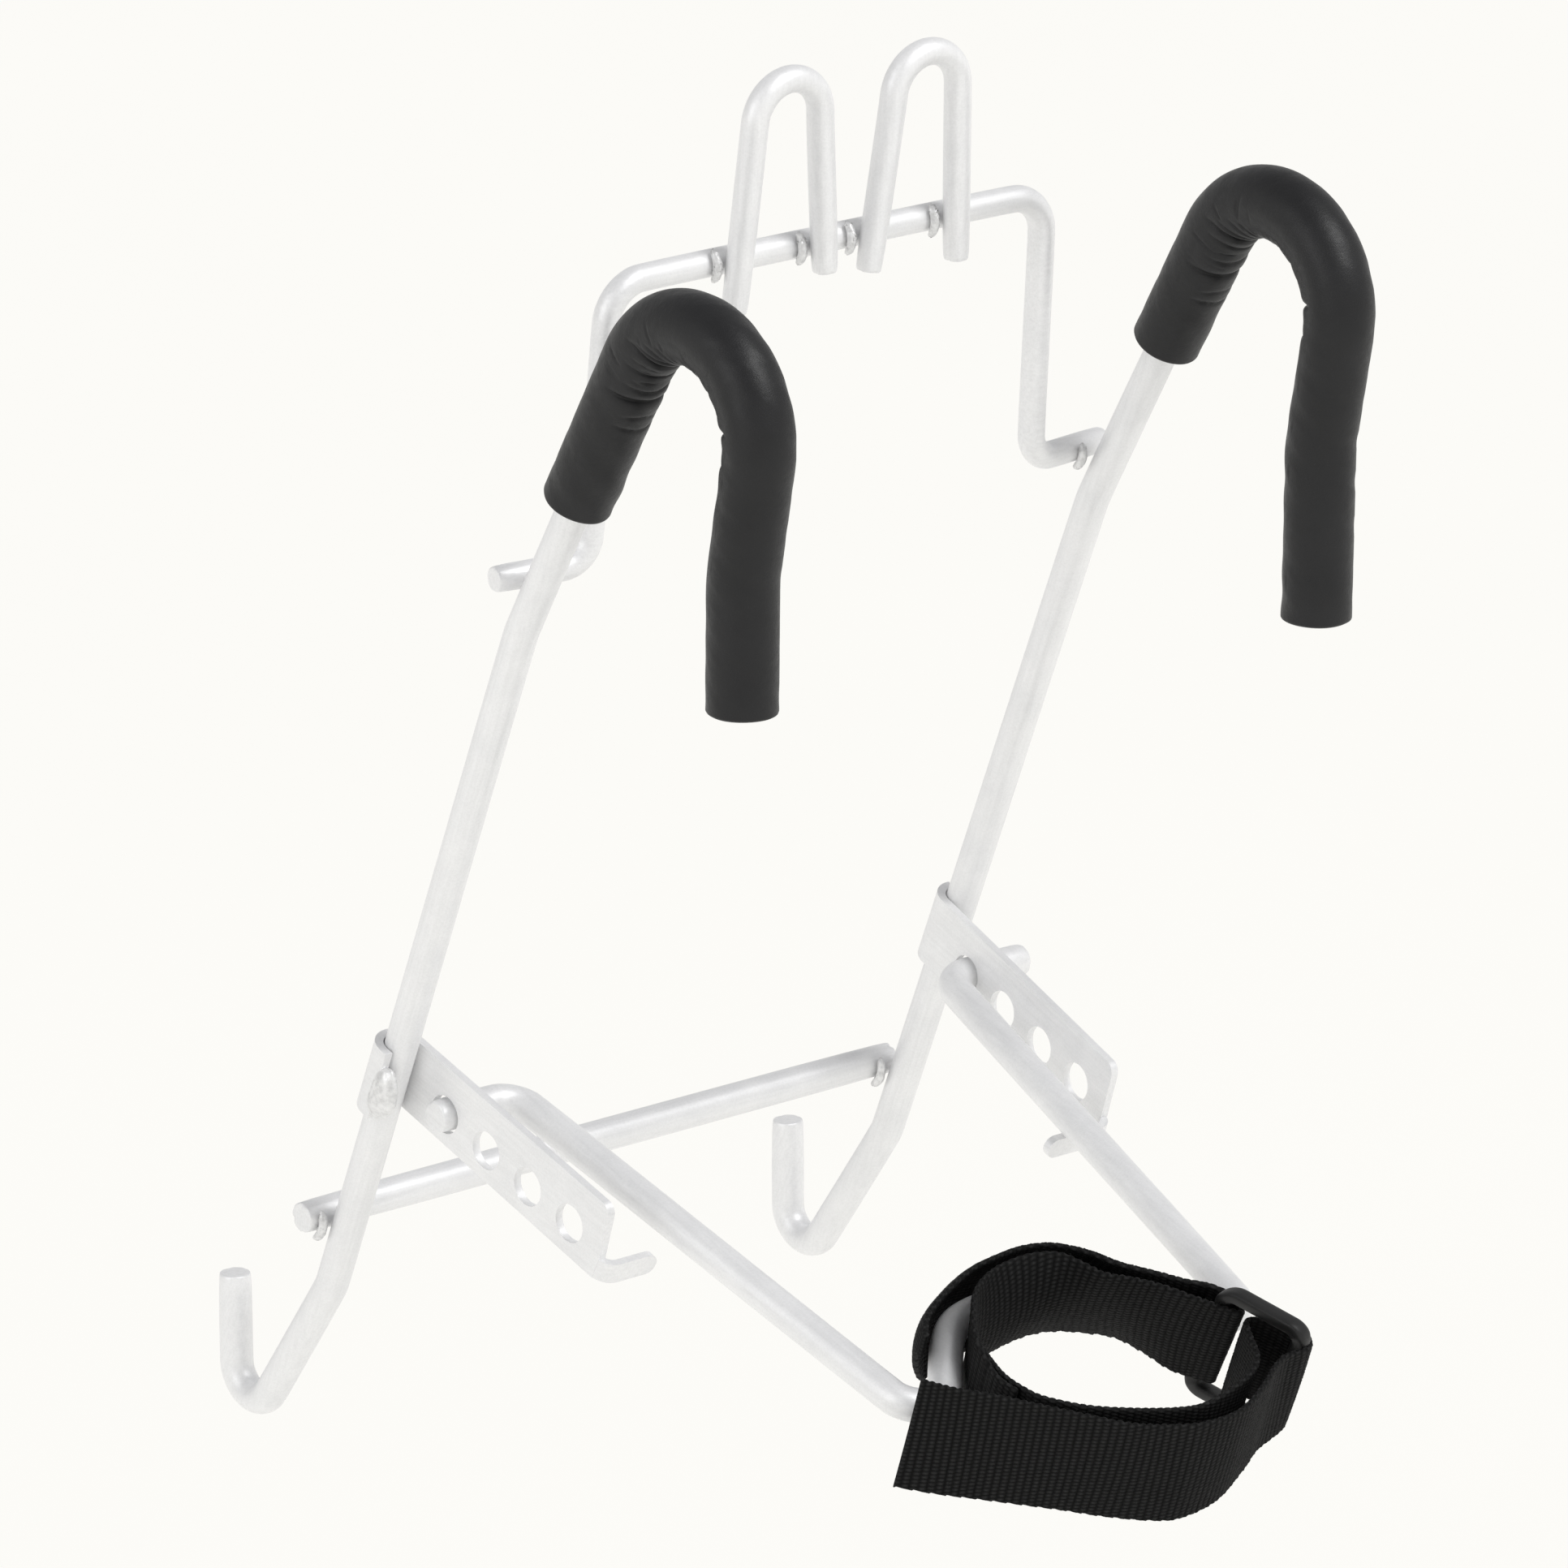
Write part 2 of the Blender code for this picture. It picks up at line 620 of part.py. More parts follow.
START = [(-0.0429, 0.1718), (-0.0441, 0.1760), (-0.0457, 0.1835), (-0.0455, 0.1915)]
KEEPER = [
    (-0.0535, 0.1612),
    (-0.0478, 0.1528),
    (-0.0415, 0.1463),
    (-0.0320, 0.1390),
    (-0.0200, 0.1330),
    (-0.0080, 0.1314),
    (0.0040, 0.1314),
    (0.0130, 0.1318),
    (0.0195, 0.1352),
    (0.0230, 0.1430),
    (0.0258, 0.1508),
]
ROUND_INNER_BAR = [
    (0.0332, 0.1594),
    ring_point(BESIDE_BAR, -BAR_AT - 0.008),
    ring_point(BESIDE_BAR, -BAR_AT + 0.001),
    ring_point(BESIDE_BAR * 0.75, -BAR_AT + PAST_BAR - 0.0004),
    ring_point(0.0, -BAR_AT + PAST_BAR),
    ring_point(-BESIDE_BAR * 0.75, -BAR_AT + PAST_BAR - 0.0004),
    ring_point(-BESIDE_BAR, -BAR_AT + 0.001),
    ring_point(-BESIDE_BAR, -BAR_AT - 0.007),
    (0.0320, 0.1622),
]
INNER_BACK = [yoke_offset(x, BESIDE_TUBE + 0.0020) for x in (0.0300, 0.0240)]
INNER_BACK += [yoke_offset(x, BESIDE_TUBE) for x in (0.014, 0.0, -0.014, -0.0240, -0.0300)]
INNER_BACK += [yoke_offset(x, BESIDE_TUBE + 0.0002) for x in (-0.0375, -0.0450)]
LEFT_TURN = [(-0.0416, 0.1755), (-0.0437, 0.1840)]
INNER_FRONT = [
    (-0.0425, 0.1925),
    (-0.0375, 0.1995),
    (-0.0285, 0.2062),
    (-0.0170, 0.2120),
    (-0.0040, 0.2155),
    (0.0090, 0.2160),
    (0.0200, 0.2125),
    (0.0290, 0.2065),
    (0.0360, 0.1995),
]
ROUND_OUTER_BAR = [
    ring_point(-0.0062, 0.0040),
    ring_point(-0.0015, 0.0012),
    ring_point(0.0026, 0.0026),
    ring_point(BESIDE_BAR + 0.0006, 0.0072),
    ring_point(BESIDE_BAR + 0.0004, BAR_AT),
    ring_point(0.0022, BAR_AT + PAST_BAR - 0.0006),
]
TAIL = [
    (0.0460, 0.2068),
    (0.0360, 0.2115),
    (0.0245, 0.2177),
    (0.0110, 0.2232),
    (-0.0070, 0.2240),
    (-0.0240, 0.2160),
    (-0.0410, 0.2020),
    (-0.0530, 0.1915),
    (-0.0690, 0.1778),
]


SPAN = 3  # points for each stretch between two of the curve's


def smooth(points, per_span=SPAN):
    """A Catmull-Rom curve through the points."""
    ends = [2 * points[0] - points[1], *points, 2 * points[-1] - points[-2]]
    out = []
    for a, b, c, d in zip(ends, ends[1:], ends[2:], ends[3:]):
        for i in range(per_span):
            t = i / per_span
            out.append(
                0.5 * (2 * b + (c - a) * t + (2 * a - 5 * b + 4 * c - d) * t**2)
                + 0.5 * (3 * b - a - 3 * c + d) * t**3
            )
    out.append(points[-1])
    return out


def add_ribbon(name, points, finish, low=None):
    """Webbing on edge: a strip along the curve, as tall as the strap or from a raised lower edge."""
    heights = low or [-STRAP_W / 2] * len(points)
    bm = bmesh.new()
    rings = []
    for i, (point, floor) in enumerate(zip(points, heights)):
        along = points[min(i + 1, len(points) - 1)] - points[max(i - 1, 0)]
        across = Vector((-along.y, along.x)).normalized() * (STRAP_T / 2)
        corners = [
            (point - across, floor),
            (point + across, floor),
            (point + across, STRAP_W / 2),
            (point - across, STRAP_W / 2),
        ]
        rings.append([bm.verts.new(leaning(p.x, p.y, h)) for p, h in corners])
    for before, after in zip(rings, rings[1:]):
        bridge(bm, before, after)
    bm.faces.new(rings[0])
    bm.faces.new(rings[-1])
    return add_object(name, bm, finish)


def trimmed(points, start=0.0, end=0.0):
    """The curve without a short length at its start and end."""
    flat = [Vector((p.x, p.y, 0.0)) for p in points]
    total = sum((b - a).length for a, b in zip(flat, flat[1:]))
    kept = part_of(flat, start, total - end - 1e-9)
    return [Vector((p.x, p.y)) for p in kept]


def build_strap(webbing):
    add_ribbon("strap_start", smooth([Vector(p) for p in START]), webbing)
    back = [Vector(p) for p in KEEPER + ROUND_INNER_BAR + INNER_BACK + LEFT_TURN]
    back_curve = smooth(back)
    tube = resampled(strut_path(), 0.002)
    crossing = []
    for i, point in enumerate(back_curve):
        place = on_strut(point.x, point.y)
        if min((place - other).length for other in tube) < BESIDE_TUBE - GAP:
            crossing.append(i)
    low = []
    for i in range(len(back_curve)):
        notched = any(abs(i - j) <= 1 for j in crossing)
        low.append(STRAP_NOTCH_H if notched else -STRAP_W / 2)
    add_ribbon("strap_back", back_curve, webbing, low)
    front = [Vector(p) for p in LEFT_TURN[-1:] + INNER_FRONT + ROUND_OUTER_BAR + TAIL]
    front_curve = smooth(front)
    split = SPAN * (len(INNER_FRONT) - 2)
    add_ribbon("strap_front", trimmed(front_curve[: split + 1], GAP), webbing)
    add_ribbon("strap_tail", trimmed(front_curve[split:], GAP), webbing)


def build_ring(plastic):
    """A rectangular ring round the strap: its long bars stand along the strap's width."""
    half_along = BAR_AT
    half_tall = (RING_SIZE[1] - RING_BAR[0]) / 2
    bm = bmesh.new()
    rings = []
    corner_r = 0.004
    corners = [(1, 1), (-1, 1), (-1, -1), (1, -1)]
    for sx, sy in corners:
        for i in range(5):
            turn = math.atan2(sy, sx) - math.pi / 4 + math.pi / 2 * i / 4
            along = sx * (half_along - corner_r) + corner_r * math.cos(turn)
            tall = sy * (half_tall - corner_r) + corner_r * math.sin(turn)
            rings.append(ring_section(bm, along, tall, turn))
    for i, ring in enumerate(rings):
        bridge(bm, ring, rings[(i + 1) % len(rings)])
    add_object("strap_ring", bm, plastic)


def ring_section(bm, along, tall, turn):
    """The bar's rounded section, standing across the ring's outline."""
    half_w, half_t = RING_BAR[0] / 2, RING_BAR[1] / 2
    verts = []
    for i in range(12):
        t = 2 * math.pi * (i + 0.5) / 12
        wide = half_w * math.copysign(abs(math.cos(t)) ** 0.6, math.cos(t))
        thick = half_t * math.copysign(abs(math.sin(t)) ** 0.6, math.sin(t))
        x, v = ring_point(thick, along + wide * math.cos(turn))
        verts.append(bm.verts.new(leaning(x, v, tall + wide * math.sin(turn))))
    return verts


def main():
    clear_scene()
    scene = bpy.context.scene
    scene.unit_settings.system = "METRIC"
    scene.unit_settings.scale_length = 1.0
    zinc = material("zinc_plate", (0.74, 0.74, 0.75), 0.32, 1.0)
    zinc_weld = material("zinc_weld", (0.62, 0.62, 0.63), 0.45, 1.0)
    foam = material("black_foam", (0.03, 0.03, 0.032), 0.6)
    webbing = material("black_webbing", (0.015, 0.015, 0.016), 0.85)
    plastic = material("black_plastic", (0.02, 0.02, 0.021), 0.4)
    build_side_rods(zinc)
    build_crossbar(zinc)
    build_upper_frame(zinc)
    build_loops(zinc)
    build_sleeves(foam)
    build_plates(zinc)
    build_welds(zinc_weld)
    build_strut(zinc)
    build_strap(webbing)
    build_ring(plastic)
    pivot = bpy.data.objects.new("strut_pivot", None)
    pivot.location = PIVOT - ORIGIN
    scene.collection.objects.link(pivot)
    bpy.context.view_layer.update()
    straps = ("strap_start", "strap_back", "strap_front", "strap_tail", "strap_ring")
    for name in ("strut", *straps):
        obj = bpy.data.objects[name]
        obj.parent = pivot
        obj.matrix_parent_inverse = pivot.matrix_world.inverted()


main()
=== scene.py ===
"""Looks of the hanging bicycle rack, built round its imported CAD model. Metres, row frame:
+Z up, -Y is the side that the strut and its strap stick out of."""

import math

import bmesh
import bpy
import numpy as np
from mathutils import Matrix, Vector, noise


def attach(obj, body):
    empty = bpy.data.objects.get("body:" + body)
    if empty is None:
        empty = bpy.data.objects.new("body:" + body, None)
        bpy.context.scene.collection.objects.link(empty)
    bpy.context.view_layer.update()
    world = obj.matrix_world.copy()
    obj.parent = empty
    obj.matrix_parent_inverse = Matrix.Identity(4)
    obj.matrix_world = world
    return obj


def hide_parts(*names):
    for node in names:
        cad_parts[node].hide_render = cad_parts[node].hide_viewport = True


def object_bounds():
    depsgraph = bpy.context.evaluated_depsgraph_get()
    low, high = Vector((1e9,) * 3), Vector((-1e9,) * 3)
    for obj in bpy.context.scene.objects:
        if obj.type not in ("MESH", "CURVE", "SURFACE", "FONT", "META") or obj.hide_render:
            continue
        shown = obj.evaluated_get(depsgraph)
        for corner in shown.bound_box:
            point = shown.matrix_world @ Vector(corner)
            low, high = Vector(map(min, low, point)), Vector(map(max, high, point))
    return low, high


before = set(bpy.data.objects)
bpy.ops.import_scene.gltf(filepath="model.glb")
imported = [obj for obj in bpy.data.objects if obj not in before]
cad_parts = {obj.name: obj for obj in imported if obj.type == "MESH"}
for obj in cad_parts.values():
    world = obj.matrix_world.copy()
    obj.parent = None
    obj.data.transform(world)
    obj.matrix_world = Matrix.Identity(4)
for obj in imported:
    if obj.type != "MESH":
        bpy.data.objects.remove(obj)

CAD_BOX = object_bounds()

# ---- dimensions, as in the CAD model ------------------------------------------------
KINK = Vector((0.0, 0.1670, -0.3115))  # lower kink of the side rods, in the row frame
SIDE_X = 0.105
ROD_R = 0.005
FOAM_R = 0.010
PAD_LEAN = math.radians(30.3)
ROD_LEAN = math.radians(22.6)
TAIL_LEAN = math.radians(11.0)
TOP_BEND_R = 0.0275
TOP_CENTRE = Vector((0.0, -0.1670, 0.2940))
TAIL_KINK_Z = 0.256
TAIL_END = Vector((0.0, -0.1872, 0.2240))
FOAM_START_Z = {"left": 0.2618, "right": 0.2712}
FOAM_END_Z = {"left": 0.2180, "right": 0.2040}
PIVOT = Vector((0.0, -0.0460, 0.0632))  # the strut's hinge, from the kink
STRUT_SLOPE = math.radians(17.5)
SIDES = {"left": -1.0, "right": 1.0}


# ---- material nodes -----------------------------------------------------------------
class Shader:
    """A Principled material whose nodes are added one line at a time."""

    def __init__(self, name):
        self.material = bpy.data.materials.new(name)
        self.material.use_nodes = True
        self.tree = self.material.node_tree
        self.surface = self.tree.nodes["Principled BSDF"]

    def link(self, output, socket):
        self.tree.links.new(output, socket)

    def set(self, **values):
        for name, value in values.items():
            socket = self.surface.inputs[name.replace("_", " ")]
            if isinstance(value, bpy.types.NodeSocket):
                self.link(value, socket)
            else:
                socket.default_value = value

    def add(self, kind, **settings):
        made = self.tree.nodes.new(kind)
        for name, value in settings.items():
            setattr(made, name, value)
        return made

    def places(self, turn=(0.0, 0.0, 0.0), scale=(1.0, 1.0, 1.0)):
        """Object coordinates, turned and then stretched."""
        where = self.add("ShaderNodeTexCoord")
        turned = self.add("ShaderNodeMapping", vector_type="TEXTURE")
        turned.inputs["Rotation"].default_value = turn
        self.link(where.outputs["Object"], turned.inputs["Vector"])
        scaled = self.add("ShaderNodeMapping")
        scaled.inputs["Scale"].default_value = scale
        self.link(turned.outputs["Vector"], scaled.inputs["Vector"])
        return scaled.outputs["Vector"]

    def uv(self):
        return self.add("ShaderNodeUVMap", uv_map="UVMap").outputs["UV"]

    def noise(self, where, scale, detail=3.0, roughness=0.55):
        made = self.add("ShaderNodeTexNoise")
        made.inputs["Scale"].default_value = scale
        made.inputs["Detail"].default_value = detail
        made.inputs["Roughness"].default_value = roughness
        self.link(where, made.inputs["Vector"])
        return made.outputs["Fac"]

    def ramp(self, value, *stops):
        made = self.add("ShaderNodeValToRGB")
        elements = made.color_ramp.elements
        while len(elements) < len(stops):
            elements.new(0.5)
        for element, (position, shade) in zip(elements, stops):
            element.position = position
            colour = shade if isinstance(shade, tuple) else (shade, shade, shade)
            element.color = (*colour, 1.0)
        self.link(value, made.inputs["Fac"])
        return made.outputs["Color"]

    def math(self, operation, a, b=0.0):
        made = self.add("ShaderNodeMath", operation=operation)
        for socket, value in zip(made.inputs, (a, b)):
            if isinstance(value, bpy.types.NodeSocket):
                self.link(value, socket)
            else:
                socket.default_value = value
        return made.outputs["Value"]

    def mix(self, factor, a, b, blend="MIX"):
        made = self.add("ShaderNodeMix", data_type="RGBA", blend_type=blend)
        sockets = [made.inputs["Factor"], made.inputs[6], made.inputs[7]]
        for socket, value in zip(sockets, (factor, a, b)):
            if isinstance(value, bpy.types.NodeSocket):
                self.link(value, socket)
            else:
                socket.default_value = value
        return made.outputs[2]

    def bump(self, height, distance, strength=1.0, after=None):
        made = self.add("ShaderNodeBump")
        made.inputs["Distance"].default_value = distance
        made.inputs["Strength"].default_value = strength
        self.link(height, made.inputs["Height"])
        if after is not None:
            self.link(after, made.inputs["Normal"])
        return made.outputs["Normal"]


def zinc(name, turn=(0.0, 0.0, 0.0), along="Z", rough=0.46, grain=1.0):
    """Bright zinc plating: soft mottling, faint drawing lines along the rod, tiny pits."""
    made = Shader(name)
    stretch = {"X": (0.04, 1.0, 1.0), "Y": (1.0, 0.04, 1.0), "Z": (1.0, 1.0, 0.04)}[along]
    lines = made.noise(made.places(turn, stretch), 900.0, 2.0)
    plain = made.places()
    clouds = made.noise(plain, 70.0, 4.0, 0.6)
    grains = made.noise(plain, 1500.0, 3.0, 0.7)
    shade = made.ramp(clouds, (0.30, (0.865, 0.867, 0.875)), (0.70, (0.93, 0.93, 0.933)))
    streaks = made.ramp(lines, (0.30, 0.95), (0.65, 1.0))
    speckle = made.ramp(grains, (0.30, 0.94), (0.60, 1.0))
    colour = made.mix(1.0, shade, streaks, "MULTIPLY")
    colour = made.mix(1.0, colour, speckle, "MULTIPLY")
    spread = made.math("ADD", made.math("MULTIPLY", clouds, 0.16), rough - 0.08)
    relief = made.bump(grains, 0.00006 * grain, 0.8)
    relief = made.bump(lines, 0.00002 * grain, 0.6, relief)
    relief = made.bump(clouds, 0.0006, 0.25, relief)
    made.set(Base_Color=colour, Metallic=0.35, Roughness=spread, Normal=relief)
    made.set(Specular_IOR_Level=0.5)
    return made.material


def weld_metal():
    """Plated weld bead: lumpy, darker and rougher in its hollows."""
    made = Shader("zinc_weld_look")
    plain = made.places()
    lumps = made.noise(plain, 450.0, 4.0, 0.6)
    fine = made.noise(plain, 2500.0, 2.0)
    shade = made.ramp(lumps, (0.30, 0.62), (0.55, 0.82), (0.75, 0.90))
    relief = made.bump(lumps, 0.0006, 0.6)
    relief = made.bump(fine, 0.0001, 0.5, relief)
    rough = made.ramp(lumps, (0.30, 0.50), (0.70, 0.28))
    made.set(Base_Color=shade, Metallic=0.35, Roughness=rough, Normal=relief)
    return made.material


def foam_look():
    """Closed-cell foam skin: dark grey, satin, finely pored, with rubbed lighter patches, and
    painted shade darkening its folds.
    """
    made = Shader("black_foam_look")
    plain = made.places()
    pores = made.noise(plain, 2600.0, 3.0, 0.6)
    skin = made.noise(plain, 420.0, 4.0, 0.6)
    patches = made.noise(plain, 55.0, 3.0, 0.5)
    dark, pale = (0.0085, 0.0086, 0.0094), (0.0125, 0.0126, 0.0136)
    shade = made.ramp(patches, (0.30, dark), (0.70, pale))
    # painted shade in the folds: the colour darkens where the skin is creased
    folds = made.add("ShaderNodeAttribute", attribute_name="painted_fold_shade")
    painted_crease_shade = made.ramp(folds.outputs["Fac"], (0.15, 1.0), (0.85, 0.12))
    shade = made.mix(1.0, shade, painted_crease_shade, "MULTIPLY")
    dust = made.ramp(pores, (0.62, 0.0), (0.80, 1.0))
    colour = made.mix(made.math("MULTIPLY", dust, 0.18), shade, (0.07, 0.07, 0.07, 1.0))
    rough = made.ramp(skin, (0.30, 0.40), (0.70, 0.50))
    relief = made.bump(pores, 0.00008, 0.7)
    relief = made.bump(skin, 0.0003, 0.35, relief)
    made.set(Base_Color=colour, Roughness=rough, Normal=relief, Specular_IOR_Level=0.34)
    return made.material


def webbing_look():
    """Black polyester yarn: filament lines on each float, a painted highlight on each float's
    top and painted shade in the gaps between.
    """
    made = Shader("black_webbing_look")
    stretched = made.add("ShaderNodeMapping")
    stretched.inputs["Scale"].default_value = (0.25, 1.0, 1.0)
    made.link(made.uv(), stretched.inputs["Vector"])
    filaments = made.noise(stretched.outputs["Vector"], 9000.0, 2.0)
    tufts = made.noise(made.places(), 900.0, 3.0, 0.7)
    height = made.add("ShaderNodeAttribute", attribute_name="float_height")
    # painted light on the weave: nearly black in the gaps, lighter on the floats' tops
    painted_float_light = ((0.0, 0.0012), (0.50, 0.0035), (0.80, 0.0115), (1.0, 0.0240))
    depth = made.ramp(height.outputs["Fac"], *painted_float_light)
    worn = made.ramp(tufts, (0.35, 0.70), (0.70, 1.30))
    colour = made.mix(1.0, depth, worn, "MULTIPLY")
    relief = made.bump(filaments, 0.00010, 0.8)
    relief = made.bump(tufts, 0.00020, 0.4, relief)
    rough = made.ramp(tufts, (0.30, 0.62), (0.70, 0.80))
    made.set(Base_Color=colour, Roughness=rough, Normal=relief, Specular_IOR_Level=0.12)
    return made.material


def fibre_look():
    """Loose pile fibres, paler than the webbing where light comes through them."""
    made = Shader("black_fibre_look")
    shade = made.ramp(made.noise(made.places(), 400.0), (0.35, 0.010), (0.65, 0.050))
    made.set(Base_Color=shade, Roughness=0.6, Specular_IOR_Level=0.15)
    return made.material


def plastic_look():
    """Moulded nylon: fine matt texture, faint flow marks."""
    made = Shader("black_plastic_look")
    plain = made.places()
    texture = made.noise(plain, 3800.0, 3.0, 0.6)
    marks = made.noise(plain, 160.0, 3.0, 0.5)
    shade = made.ramp(marks, (0.30, 0.0075), (0.70, 0.0110))
    rough = made.ramp(marks, (0.30, 0.42), (0.70, 0.52))
    relief = made.bump(texture, 0.00006, 0.7)
    made.set(Base_Color=shade, Roughness=rough, Normal=relief, Specular_IOR_Level=0.35)
    return made.material


# ---- meshes -------------------------------------------------------------------------
def add_mesh(name, points, faces, material, body, stands_for):
    """Links a smooth mesh, rides it on its body and hides the CAD nodes it stands for."""
    mesh = bpy.data.meshes.new(name)
    mesh.from_pydata([tuple(p) for p in points], [], faces)
    mesh.validate()
    mesh.shade_smooth()
    mesh.materials.append(material)
    obj = bpy.data.objects.new(name, mesh)
    bpy.context.scene.collection.objects.link(obj)
    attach(obj, body)
    if stands_for:
        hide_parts(*stands_for)
    return obj


def ring_faces(rings, sides):
    """Quads between neighbouring rings of a closed section."""
    faces = []
    for i in range(rings - 1):
        low = i * sides
        for j in range(sides):
            k = (j + 1) % sides
            faces.append((low + j, low + k, low + sides + k, low + sides + j))
    return faces


def closing_faces(rings, sides):
    """Quads from the last ring back to the first."""
    last = (rings - 1) * sides
    return [(last + j, last + (j + 1) % sides, (j + 1) % sides, j) for j in range(sides)]


def set_attribute(obj, name, values):
    """A number from 0 to 1 on each point, for the material to read."""
    attribute = obj.data.attributes.new(name, "FLOAT", "POINT")
    attribute.data.foreach_set("value", np.clip(values, 0, 1).ravel().astype(np.float32))


def set_uv(obj, across, along, sides):
    """UVs in metres for a mesh made of rings."""
    layer = obj.data.uv_layers.new(name="UVMap")
    index = np.empty(len(obj.data.loops), np.int32)
    obj.data.loops.foreach_get("vertex_index", index)
    pairs = np.stack([along[index // sides], across[index % sides]], axis=1)
    layer.data.foreach_set("uv", pairs.astype(np.float32).ravel())


def catmull(stations, per_span):
    """A smooth curve through rows of numbers."""
    rows = np.asarray(stations, float)
    ends = np.vstack([2 * rows[0] - rows[1], rows, 2 * rows[-1] - rows[-2]])
    out = []
    for a, b, c, d in zip(ends, ends[1:], ends[2:], ends[3:]):
        for i in range(per_span):
            t = i / per_span
            out.append(
                0.5 * (2 * b + (c - a) * t + (2 * a - 5 * b + 4 * c - d) * t**2)
                + 0.5 * (3 * b - a - 3 * c + d) * t**3
            )
    out.append(rows[-1])
    return np.array(out)


def evenly(rows, walked, spacing):
    """Rows resampled at even steps of the distance walked."""
    count = max(2, round(walked[-1] / spacing))
    at = np.linspace(0.0, walked[-1], count + 1)
    return at, np.stack([np.interp(at, walked, column) for column in rows.T], axis=1)


def walked_along(points):
    """The distance walked from the first point to each."""
    steps = np.linalg.norm(np.diff(points, axis=0), axis=1)
    return np.concatenate([[0.0], np.cumsum(steps)])


# ---- foam sleeves -------------------------------------------------------------------
BEND_STEPS = 60
TAIL_KINK_R = 0.040
SLEEVE_SIDES = 128
SLEEVE_STEP = 0.0004
BORE_GAP = 0.0003
BULGE = 0.9  # mm that the inside of the bend swells
CREASES = 34  # small creases between the folds
RIPPLES = 12
CUT_ROUND = 0.9  # mm that the skin is rounded at its cut ends
SLEEVE_SEEDS = {"left": 11, "right": 12}


def lean(angle):
    """Upwards, tipped forwards by the angle."""
    return Vector((0.0, -math.sin(angle), math.cos(angle)))


def arc_corner(before, corner, after, radius, count=40):
    """The points of the arc that rounds a corner of the Y-Z plane."""
    back = (before - corner).normalized()
    ahead = (after - corner).normalized()
    half = back.angle(ahead) / 2
    centre = corner + (back + ahead).normalized() * (radius / math.sin(half))
    start = corner + back * (radius / math.tan(half)) - centre
    end = corner + ahead * (radius / math.tan(half)) - centre
    turn = math.pi - 2 * half
    points = []
    for i in range(count + 1):
        share = i / count
        arm = start * math.sin(turn * (1 - share)) + end * math.sin(turn * share)
        points.append(centre + arm / math.sin(turn))
    return points


def hook_line(side):
    """The padded hook's centre line: distance walked, its points, and how far on the apex is."""
    up = lean(PAD_LEAN)
    forward = Vector((0.0, -math.cos(PAD_LEAN), -math.sin(PAD_LEAN)))
    into_hook = TOP_CENTRE - forward * TOP_BEND_R
    tail_up = lean(TAIL_LEAN)
    tail_back = Vector((0.0, math.cos(TAIL_LEAN), math.sin(TAIL_LEAN)))
    out_of_hook = TOP_CENTRE - tail_back * TOP_BEND_R
    kink = out_of_hook + tail_up * ((TAIL_KINK_Z - out_of_hook.z) / tail_up.z)
    start = into_hook + up * ((FOAM_START_Z[side] - into_hook.z) / up.z)
    points = [start, into_hook]
    first = math.atan2(into_hook.z - TOP_CENTRE.z, into_hook.y - TOP_CENTRE.y)
    last = math.atan2(out_of_hook.z - TOP_CENTRE.z, out_of_hook.y - TOP_CENTRE.y)
    last += 2 * math.pi * (last < first)
    for i in range(1, BEND_STEPS + 1):
        turn = first + (last - first) * i / BEND_STEPS
        arm = Vector((0.0, math.cos(turn), math.sin(turn))) * TOP_BEND_R
        points.append(TOP_CENTRE + arm)
    beyond = (TAIL_END - kink).normalized()
    end = TAIL_END + beyond * ((TAIL_END.z - FOAM_END_Z[side]) / -beyond.z)
    points += arc_corner(out_of_hook, kink, end, TAIL_KINK_R) + [end]
    apex = max(points, key=lambda p: p.z)
    offset = KINK + Vector((SIDES[side] * SIDE_X, 0.0, 0.0))
    line = np.array([p + offset for p in points])
    walked = walked_along(line)
    return walked, line, walked[points.index(apex)]


FOLDS = [
    # place from the apex, depth and half width in mm, reach round in degrees, slant
    (-46.0, 0.8, 0.5, 50, 4),
    (-41.5, 0.6, 0.4, 42, -3),
    (-36.0, 2.3, 0.8, 82, 5),
    (-31.5, 1.1, 0.5, 60, 8),
    (-24.0, 1.2, 0.6, 72, 6),
    (-14.5, 2.6, 0.8, 95, -8),
    (-10.5, 1.7, 0.6, 80, -14),
    (-7.0, 1.6, 0.5, 74, -18),
    (-3.0, 1.5, 0.5, 66, -20),
    (1.0, 1.4, 0.5, 58, -18),
    (5.0, 1.5, 0.5, 52, -12),
    (10.0, 1.7, 0.6, 55, -8),
    (16.0, 1.9, 0.7, 58, -4),
    (22.5, 1.7, 0.7, 55, 0),
    (30.0, 1.3, 0.6, 52, 0),
    (38.5, 3.1, 0.9, 80, 2),
    (50.0, 2.3, 0.8, 62, 0),
    (57.0, 0.7, 0.5, 45, 0),
]


